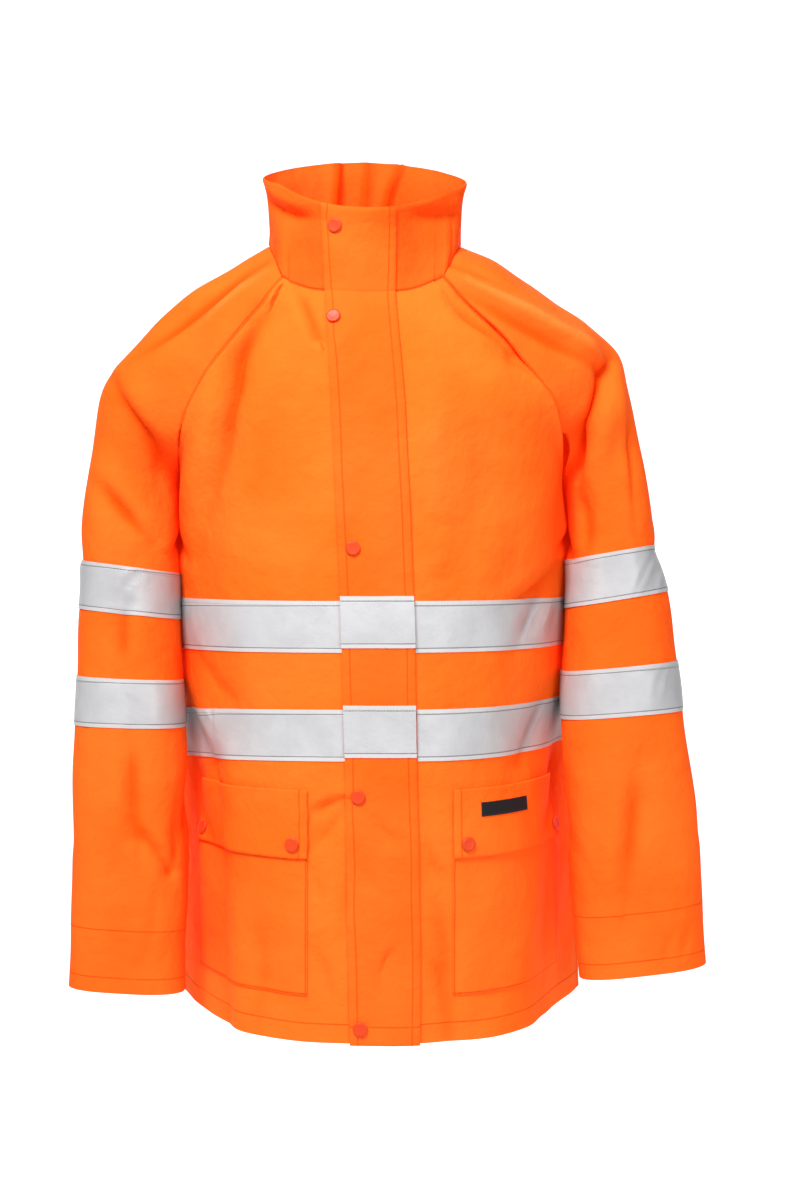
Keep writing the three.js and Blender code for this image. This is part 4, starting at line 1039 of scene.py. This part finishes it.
# As the creases, but raised: the stiff tape puckers up between its lines of stitching
TAPE_WRINKLES = [
    ("front", -.0010, .003, 0, .2, .6, [(-.252, -.352), (-.246, -.338), (-.235, -.333), (-.228, -.343)]),
    ("front", -.0007, .0025, 0, .3, .4, [(-.258, -.362), (-.254, -.345), (-.243, -.328)]),
    ("front", -.0007, .0025, 0, .3, .4, [(-.247, -.365), (-.240, -.350), (-.232, -.352)]),
    ("front", -.0004, .006, 0, .3, .3, [(-.255, -.452), (-.248, -.47), (-.245, -.49)]),
    ("front", -.0004, .005, 0, .3, .3, [(-.246, -.455), (-.236, -.462), (-.231, -.475)]),
    ("front", -.0006, .003, 0, .3, .3, [(-.283, -.48), (-.291, -.498)]),
    ("front", -.0010, .003, 0, .3, .5, [(.276, -.32), (.268, -.335), (.258, -.36)]),
    ("front", -.0008, .003, 0, .3, .5, [(.287, -.322), (.277, -.34), (.266, -.362)]),
    ("front", -.0007, .0025, 0, .3, .5, [(.262, -.318), (.264, -.335), (.262, -.352)]),
    ("front", -.0008, .003, 0, .3, .5, [(.296, -.33), (.291, -.345), (.288, -.356)]),
    ("front", -.0008, .003, 0, .3, .4, [(.288, -.432), (.280, -.445), (.276, -.468)]),
    ("front", -.0007, .0025, 0, .3, .4, [(.297, -.434), (.291, -.45), (.288, -.466)]),
    ("front", -.0007, .003, 0, .3, .4, [(.17, -.365), (.158, -.384), (.15, -.405)]),
    ("front", -.0006, .0025, 0, .3, .4, [(.182, -.366), (.172, -.392)]),
    ("front", -.0007, .003, 0, .3, .4, [(.176, -.47), (.164, -.488), (.153, -.512)]),
    ("front", -.0006, .0025, 0, .3, .4, [(.188, -.472), (.178, -.494)]),
    ("front", -.0007, .003, 0, .3, .4, [(-.182, -.478), (-.168, -.498), (-.157, -.52)]),
    ("front", -.0006, .0025, 0, .3, .4, [(-.172, -.472), (-.160, -.488)]),
    ("back", -.0008, .003, 0, .3, .4, [(-.16, -.36), (-.15, -.38), (-.146, -.4)]),
    ("back", -.0008, .003, 0, .3, .4, [(.15, -.37), (.142, -.39)]),
    ("back", -.0008, .003, 0, .3, .4, [(.272, -.335), (.262, -.355)]),
    ("back", -.0008, .003, 0, .3, .4, [(-.268, -.345), (-.256, -.365)]),
]


def reflective_tape(name, shade_tone):
    finish = Finish(name, {"Roughness": 0.4, "Metallic": 0.35, "Specular IOR Level": 0.4})
    place = finish.object_place()
    _, foot = finish.map("edges")
    top_border = TAPE_WIDTH - TAPE_BORDER - TAPE_TOP_DRAWN_IN
    border = (finish.span(foot, TAPE_BORDER, TAPE_BORDER + TAPE_BORDER_BLUR, 1.0, 0.0)
              + finish.span(foot, top_border - TAPE_BORDER_BLUR, top_border))
    top_stitch = TAPE_WIDTH - TAPE_STITCH - TAPE_STITCH_DRAWN_IN
    thread = finish.line(foot, TAPE_STITCH, TAPE_THREAD) + finish.line(foot, top_stitch, TAPE_THREAD)
    crinkle = finish.noise(place, 34.0, 4.0, 0.6)
    beads = finish.noise(place, 1600.0, 1.0)
    grey = finish.blend(finish.span(crinkle, 0.3, 0.7),
                        (shade_tone, shade_tone, shade_tone + 0.012, 1), (1.1 * shade_tone, 1.1 * shade_tone, 1.1 * shade_tone + 0.01, 1))
    colour = finish.blend(border.reckon("MINIMUM", 1.0), grey,
                          (1.16 * shade_tone, 1.14 * shade_tone, 1.14 * shade_tone, 1))
    painted_fold_light = finish.node("ShaderNodeAttribute", {"attribute_name": "painted_fold_light"}, None, "Fac")
    # Painted shade: the tape darkens where the cloth under it is creased
    colour = finish.blend(finish.span(painted_fold_light, 0.0, 0.8) * 0.6, colour, (0.24, 0.20, 0.22, 1))
    colour = finish.blend(thread * 0.8, colour, (0.15, 0.14, 0.16, 1))
    normal = finish.bump(crinkle, 0.002, 0.6)
    normal = finish.bump(beads, 0.00006, 0.4, normal)
    normal = finish.bump(1 - thread, 0.0004, 0.7, normal)
    finish.set({"Base Color": colour, "Normal": normal,
                "Metallic": finish.span(border, 0.0, 1.0, 0.08, 0.0),
                "Roughness": finish.span(beads, 0.3, 0.7, 0.44, 0.54)})
    return finish.material


# Painted shade: the sleeves' tape is a darker copy of the same tape, for the stronger light on them
silver = {
    "body": reflective_tape("reflective_tape", 0.455),
    "sleeve": reflective_tape("reflective_tape_sleeve", 0.395),
}


def tape(name, panel, rows, columns):
    """A length of tape laid on a panel, at these rows and columns of it."""
    laid = panel.lay(rows, columns, SEAM_GAP + TAPE_THICKNESS)
    crumple(laid, TAPE_WRINKLES, lift=TAPE_SWELL)
    piece = wall(name, laid, TAPE_THICKNESS, silver["sleeve" if name.startswith("sleeve") else "body"])
    dress(piece, "reflective_tape", name)
    return laid


def all_columns(panel, rows):
    last = panel.points.shape[1] - 1
    return np.tile(np.arange(last + 1.0), (len(rows), 1))


def columns_between(starts, ends):
    count = int(round(max(ends - starts) / TAPE_STEP)) + 1
    return np.array([np.linspace(a, b, count) for a, b in zip(starts, ends)])


def tape_rows(panel, places):
    """Every half row from the top of a tape to its foot."""
    top, foot = (panel.row_of(place) for place in places)
    return np.linspace(top, foot, 2 * (foot - top) + 1)


laid_tapes = {}
for level in ("upper", "lower"):
    right, left, back = panels["front_right"], panels["front_left"], panels["back"]
    rows = tape_rows(right, BODY_LEVEL[f"{level} tape"])
    edges = [np.interp(right.at(row, 0)[2], FLAP_EDGES["z"], FLAP_EDGES["right"]) for row in rows]
    starts = np.array([column_at(right, row, x + TAPE_UNDER_FLAP) for row, x in zip(rows, edges)])
    ends = np.full(len(rows), right.points.shape[1] - 1.0)
    laid_tapes[f"{level} right"] = tape(
        f"tape_{level}_front_right", right, rows, columns_between(starts, ends))
    last = left.points.shape[1] - 1
    edges = [np.interp(left.at(row, last)[2], FLAP_EDGES["z"], FLAP_EDGES["left"]) for row in rows]
    ends = np.array([column_at(left, row, x + 2 * SEAM_GAP) for row, x in zip(rows, edges)])
    laid_tapes[f"{level} left"] = tape(
        f"tape_{level}_front_left", left, rows, columns_between(0 * ends, ends))
    laid_tapes[f"{level} back"] = tape(
        f"tape_{level}_back", back, rows, all_columns(back, rows))
    per_row = (right.at(rows[0], 0)[2] - right.at(rows[-1], 0)[2]) / (rows[-1] - rows[0])
    flap_rows = rows + COLLAR_ROWS - FLAP_TAPE_RAISE / per_row
    laid_tapes[f"{level} flap"] = tape(
        f"tape_{level}_flap", storm_flap, flap_rows, all_columns(storm_flap, rows))

for side in ("right", "left"):
    sleeve = panels[f"sleeve_{side}"]
    for level in ("upper", "lower"):
        rows = tape_rows(sleeve, SLEEVE_LEVEL[f"{level} tape"])
        laid_tapes[f"{level} {side} sleeve"] = tape(
            f"sleeve_tape_{side}_{level}", sleeve, rows, all_columns(sleeve, rows))


# The patch pockets: a bag of the cloth on each front, under a two-layer flap that stands a
# little proud at its foot and closes with two snaps. A bare black label is sewn on the left flap.
POCKET_WIDTH = 0.18
POCKET_COLUMNS = 64
POCKET_ROUNDING = 0.0006
# Painted shade: the bags and pocket flaps are a darker copy of the same cloth
POCKET_PAINTED_SHADE = 0.93
POCKET_STAND_OFF = 0.0008
POCKET_FLAP_TOP_STAND_OFF = 0.0018
POCKET_FLAP_LIFT = 0.0018
POCKET_FLAP_THICKNESS = 0.002
POCKET_MOUTH_COVER = 0.45
POCKET_EDGE = {"right": -0.062, "left": 0.078}
POCKET_STITCH = 0.008
BAG_STITCH = 0.0016
LABEL_FROM, LABEL_TO, LABEL_HEIGHT, LABEL_FROM_TOP = 0.106, 0.153, 0.016, 0.28
LABEL_THICKNESS = 0.0006
LABEL_ROWS, LABEL_COLUMNS = 7, 20
LABEL_WEAVE = 7000.0
SNAP_STAND_OFF = 0.0005
POCKET_SNAPS = {"inner": (0.075, 0.85), "outer": (0.92, 0.85)}
bag_cloth = orange_cloth("orange_cloth_bag", (BAG_STITCH,), (BAG_STITCH,), POCKET_PAINTED_SHADE)
pocket_flap_cloth = orange_cloth("orange_cloth_pocket_flap", (POCKET_STITCH,), (), POCKET_PAINTED_SHADE)


def black_label(name):
    finish = Finish(name, {"Roughness": 0.85, "Specular IOR Level": 0.2})
    across, down = finish.map("cloth")
    side, foot = finish.map("edges")
    warp, weft = ((value * LABEL_WEAVE).reckon("SINE") for value in (across, down))
    border = finish.line(side.reckon("MINIMUM", foot), 0.0012, 0.0005)
    colour = finish.blend(border * 0.5, (0.011, 0.010, 0.011, 1), (0.05, 0.045, 0.05, 1))
    finish.set({"Base Color": colour, "Normal": finish.bump(warp * weft, 0.00008, 0.6)})
    return finish.material


def pocket_columns(side, rows):
    """The columns that a pocket covers, from its inner edge a pocket's width along the cloth."""
    panel = panels[f"front_{side}"]
    every = np.arange(panel.points.shape[1])
    distances = panel.across()[..., None]
    way = 1 if side == "right" else -1
    columns = []
    for row in rows:
        near = column_at(panel, row, POCKET_EDGE[side])
        run = panel.at(row, every, distances)[:, 0]
        far = np.interp(np.interp(near, every, run) + way * POCKET_WIDTH, run, every)
        columns.append(np.linspace(min(near, far), max(near, far), POCKET_COLUMNS + 1))
    return np.array(columns)


label_cloth = black_label("label_cloth")
snap_spots = []
pocket_stitched = []
for side in ("right", "left"):
    panel = panels[f"front_{side}"]
    flap_top, flap_foot = BODY_LEVEL["pocket flap"]
    flap_rows = np.arange(panel.row_of(flap_top), panel.row_of(flap_foot) + 1, 0.5)
    mouth = flap_rows[0] + (flap_rows[-1] - flap_rows[0]) * POCKET_MOUTH_COVER
    bag_rows = np.arange(mouth, panel.row_of(BODY_LEVEL["pocket foot"]) + 1)
    bag = panel.lay(bag_rows, pocket_columns(side, bag_rows), POCKET_STAND_OFF + CLOTH)
    piece = wall(f"pocket_{side}", bag, CLOTH, bag_cloth, rounding=POCKET_ROUNDING)
    dress(piece, "orange_cloth", f"pocket_{side}")

    rise = POCKET_FLAP_LIFT * np.linspace(0, 1, len(flap_rows))
    lift = POCKET_FLAP_TOP_STAND_OFF + POCKET_FLAP_THICKNESS + rise
    pocket_flap = panel.lay(flap_rows, pocket_columns(side, flap_rows), lift[:, None])
    piece = wall(f"pocket_flap_{side}", pocket_flap, POCKET_FLAP_THICKNESS, pocket_flap_cloth,
                 rounding=FLAP_ROUNDING)
    dress(piece, "orange_cloth", f"pocket_flap_{side}")
    pocket_stitched += [(bag, edge, BAG_STITCH) for edge in ("first", "last", "foot")]
    pocket_stitched += [(pocket_flap, edge, POCKET_STITCH) for edge in ("first", "last")]
    last_row, last_column = (n - 1 for n in pocket_flap.points.shape[:2])
    for end, (along, share) in POCKET_SNAPS.items():
        column = last_column * (along if side == "right" else 1 - along)
        snap_spots.append((f"pocket_snap_{side}_{end}", pocket_flap, last_row * share, column))

    if side == "left":
        middle = last_row / 2
        from_column, to_column = (column_at(pocket_flap, middle, x) for x in (LABEL_TO, LABEL_FROM))
        flap_height = np.linalg.norm(pocket_flap.points[0, 1] - pocket_flap.points[-1, 1])
        foot = LABEL_HEIGHT / flap_height * last_row
        label_rows = LABEL_FROM_TOP * last_row + np.linspace(0, foot, LABEL_ROWS)
        label_columns = np.tile(np.linspace(from_column, to_column, LABEL_COLUMNS), (LABEL_ROWS, 1))
        label = pocket_flap.lay(label_rows, label_columns, SEAM_GAP + LABEL_THICKNESS)
        piece = wall("label", label, LABEL_THICKNESS, label_cloth)
        dress(piece, "label_cloth", "label")


# The snaps: lacquered caps in a pinkish orange, 14 mm across, with a rolled edge and a shallow
# dish, riveted through the flaps. Five close the storm flap and two each pocket flap.
SNAP_PROFILE = [(0, 0.0021), (0.0032, 0.0021), (0.0048, 0.0023), (0.0058, 0.0024), (0.0066, 0.0021),
                (0.007, 0.0014), (0.0069, 0.0006), (0.0064, 0.0001), (0.006, 0.0)]
SNAP_SIDES = 48
SNAP_ORANGE = (0.70, 0.056, 0.010, 1)
SNAP_DEEP_ORANGE = (0.64, 0.050, 0.009, 1)
FLAP_SNAPS = [(-.037, .005), (-.038, -.087), (-.018, -.315), (-.013, -.554), (-.011, -.776)]


def snap_lacquer(name):
    finish = Finish(name, {"Coat Roughness": 0.25, "Coat IOR": 1.45, "Specular IOR Level": 0.2})
    haze = finish.noise(finish.object_place(), 500.0, 3.0)
    finish.set({
        "Base Color": finish.blend(finish.span(haze, 0.3, 0.7), SNAP_ORANGE, SNAP_DEEP_ORANGE),
        "Coat Weight": 0.1,
        "Roughness": finish.span(haze, 0.3, 0.7, 0.42, 0.5),
        "Normal": finish.bump(haze, 0.00005, 0.3),
    })
    return finish.material


lacquer = snap_lacquer("snap_lacquer")


def snap(name, panel, row, column):
    middle = panel.at(row, column)
    normal = Vector(unit(panel.at(row, column, panel.normals)))
    turn = np.array(normal.to_track_quat("Z", "Y").to_matrix())
    angles = np.arange(SNAP_SIDES) * 2 * math.pi / SNAP_SIDES
    rings = [[(r * math.cos(a), r * math.sin(a), h) for a in angles] for r, h in SNAP_PROFILE[1:]]
    vertices = np.array([(0, 0, SNAP_PROFILE[0][1])] + sum(rings, []) + [(0, 0, 0)])
    faces = [(0, 1 + k, 1 + (k + 1) % SNAP_SIDES) for k in range(SNAP_SIDES)]
    for ring in range(len(rings) - 1):
        a, b = 1 + ring * SNAP_SIDES, 1 + (ring + 1) * SNAP_SIDES
        for k in range(SNAP_SIDES):
            following = (k + 1) % SNAP_SIDES
            faces.append((a + k, b + k, b + following, a + following))
    a = 1 + (len(rings) - 1) * SNAP_SIDES
    faces += [(a + (k + 1) % SNAP_SIDES, a + k, len(vertices) - 1) for k in range(SNAP_SIDES)]
    mesh = bpy.data.meshes.new(name)
    mesh.from_pydata(vertices @ turn.T + middle + SNAP_STAND_OFF * np.array(normal), [], faces)
    mesh.shade_smooth()
    mesh.materials.append(lacquer)
    piece = bpy.data.objects.new(name, mesh)
    scene.collection.objects.link(piece)
    dress(piece, "snap_plastic", name)


middle_line = np.arange(0, len(storm_flap.points) - 1, 0.05)
for number, (x, z) in enumerate(FLAP_SNAPS, 1):
    heights = [storm_flap.at(row, column_at(storm_flap, row, x))[2] for row in middle_line]
    row = middle_line[int(np.argmin(np.abs(np.array(heights) - z)))]
    snap_spots.append((f"flap_snap_{number}", storm_flap, row, column_at(storm_flap, row, x)))
for name, panel, row, column in snap_spots:
    snap(name, panel, row, column)


# The stitching: lockstitch in orange polyester thread on the cloth and grey thread on the tapes,
# about 3 mm a stitch, in rows that follow the edges where the finishes draw their lines.
STITCH_PITCH = 0.003
STITCH_LENGTH = 0.0021
STITCH_WIDTH = 0.0005
STITCH_SIDES = 5
RIM_STITCH = 0.005


def sorted_pair(run):
    """Distances in rising order, with the places on the grid that they belong to."""
    order = np.argsort(run)
    return run[order], order.astype(float)


def stitch_row(panel, edge, inset):
    """A line on a panel at a distance from its top, foot, first or last edge."""
    last_row, last_column = (n - 1 for n in panel.points.shape[:2])
    if edge in ("top", "foot"):
        columns = np.arange(last_column + 1)
        run = panel.down() if edge == "top" else panel.down()[-1:] - panel.down()
        rows = [np.interp(inset, *sorted_pair(run[:, j])) for j in columns]
    else:
        rows = np.arange(last_row + 1)
        run = panel.across() if edge == "first" else panel.across()[:, -1:] - panel.across()
        columns = [np.interp(inset, *sorted_pair(run[i])) for i in rows]
    return panel.at(rows, columns)


def stitch_tree():
    """Geometry Nodes that set a stitch at every pitch along a mesh's edges."""
    tree = bpy.data.node_groups.new("stitches", "GeometryNodeTree")
    tree.is_modifier = True
    tree.interface.new_socket("Lines", in_out="INPUT", socket_type="NodeSocketGeometry")
    inputs = {name: tree.interface.new_socket(name, in_out="INPUT", socket_type=kind).identifier
              for name, kind in (("Pitch", "NodeSocketFloat"), ("Length", "NodeSocketFloat"),
                                 ("Width", "NodeSocketFloat"), ("Sides", "NodeSocketInt"),
                                 ("Thread", "NodeSocketMaterial"))}
    tree.interface.new_socket("Stitches", in_out="OUTPUT", socket_type="NodeSocketGeometry")

    def add(kind, settings=None, feeds=None):
        node = tree.nodes.new(kind)
        for key, value in (settings or {}).items():
            setattr(node, key, value)
        for key, value in (feeds or {}).items():
            if hasattr(value, "is_output"):
                tree.links.new(value, node.inputs[key])
            else:
                node.inputs[key].default_value = value
        return node

    given = add("NodeGroupInput").outputs
    curve = add("GeometryNodeMeshToCurve", None, {"Mesh": given["Lines"]})
    even = add("GeometryNodeResampleCurve", {"mode": "LENGTH"},
               {"Curve": curve.outputs["Curve"], "Length": given["Pitch"]})
    points = add("GeometryNodeCurveToPoints", {"mode": "EVALUATED"}, {"Curve": even.outputs["Curve"]})
    bead = add("GeometryNodeMeshUVSphere", None, {"Segments": given["Sides"], "Rings": 3, "Radius": 0.5})
    size = add("ShaderNodeCombineXYZ", None, {
        "X": given["Width"], "Y": given["Width"], "Z": given["Length"]})
    placed = add("GeometryNodeInstanceOnPoints", None, {
        "Points": points.outputs["Points"], "Instance": bead.outputs["Mesh"],
        "Rotation": points.outputs["Rotation"], "Scale": size.outputs["Vector"]})
    real = add("GeometryNodeRealizeInstances", None, {"Geometry": placed.outputs["Instances"]})
    finished = add("GeometryNodeSetMaterial", None, {
        "Geometry": real.outputs["Geometry"], "Material": given["Thread"]})
    add("NodeGroupOutput", None, {"Stitches": finished.outputs["Geometry"]})
    return tree, inputs


def thread(name, colour):
    finish = Finish(name, {"Roughness": 0.6, "Specular IOR Level": 0.2})
    twist = finish.noise(finish.object_place(), 1400.0, 2.0)
    finish.set({"Base Color": finish.blend(twist, colour, tuple(0.8 * part for part in colour[:3]) + (1,)),
                "Normal": finish.bump(twist, 0.00005, 0.5)})
    return finish.material


def sew(name, lines, finish, slot):
    vertices = np.concatenate(lines)
    ends = np.cumsum([len(line) for line in lines])
    edges = [(k, k + 1) for k in range(len(vertices) - 1) if k + 1 not in ends]
    guide = bpy.data.meshes.new(name)
    guide.from_pydata(vertices, edges, [])
    piece = bpy.data.objects.new(name, guide)
    scene.collection.objects.link(piece)
    modifier = piece.modifiers.new("stitches", "NODES")
    modifier.node_group = stitches
    for title, value in (("Pitch", STITCH_PITCH), ("Length", STITCH_LENGTH), ("Width", STITCH_WIDTH),
                         ("Sides", STITCH_SIDES), ("Thread", finish)):
        modifier[stitch_inputs[title]] = value
    evaluated = piece.evaluated_get(bpy.context.evaluated_depsgraph_get())
    sewn = bpy.data.meshes.new_from_object(evaluated)
    piece.modifiers.remove(modifier)
    piece.data = sewn
    bpy.data.meshes.remove(guide)
    dress(piece, slot)


stitches, stitch_inputs = stitch_tree()
orange_thread = thread("orange_thread", (0.86, 0.098, 0.004, 1))
grey_thread = thread("grey_thread", (0.16, 0.155, 0.17, 1))
body_lines = [stitch_row(panels[name], "foot", HEM_DEPTH) for name in ("front_right", "front_left", "back")]
body_lines += [stitch_row(panels[name], "foot", inset)
               for name in ("sleeve_right", "sleeve_left") for inset in (CUFF_DEPTH, CUFF_SEAM)]
body_lines.append(stitch_row(panels["collar"], "top", RIM_STITCH))
body_lines += [stitch_row(storm_flap, edge, FLAP_STITCH) for edge in ("first", "last")]
body_lines += [stitch_row(*row) for row in pocket_stitched]
sew("orange_stitches", body_lines, orange_thread, "orange_cloth")
tape_lines = [stitch_row(laid, edge, TAPE_STITCH)
              for laid in laid_tapes.values() for edge in ("top", "foot")]
sew("tape_stitches", tape_lines, grey_thread, "reflective_tape")
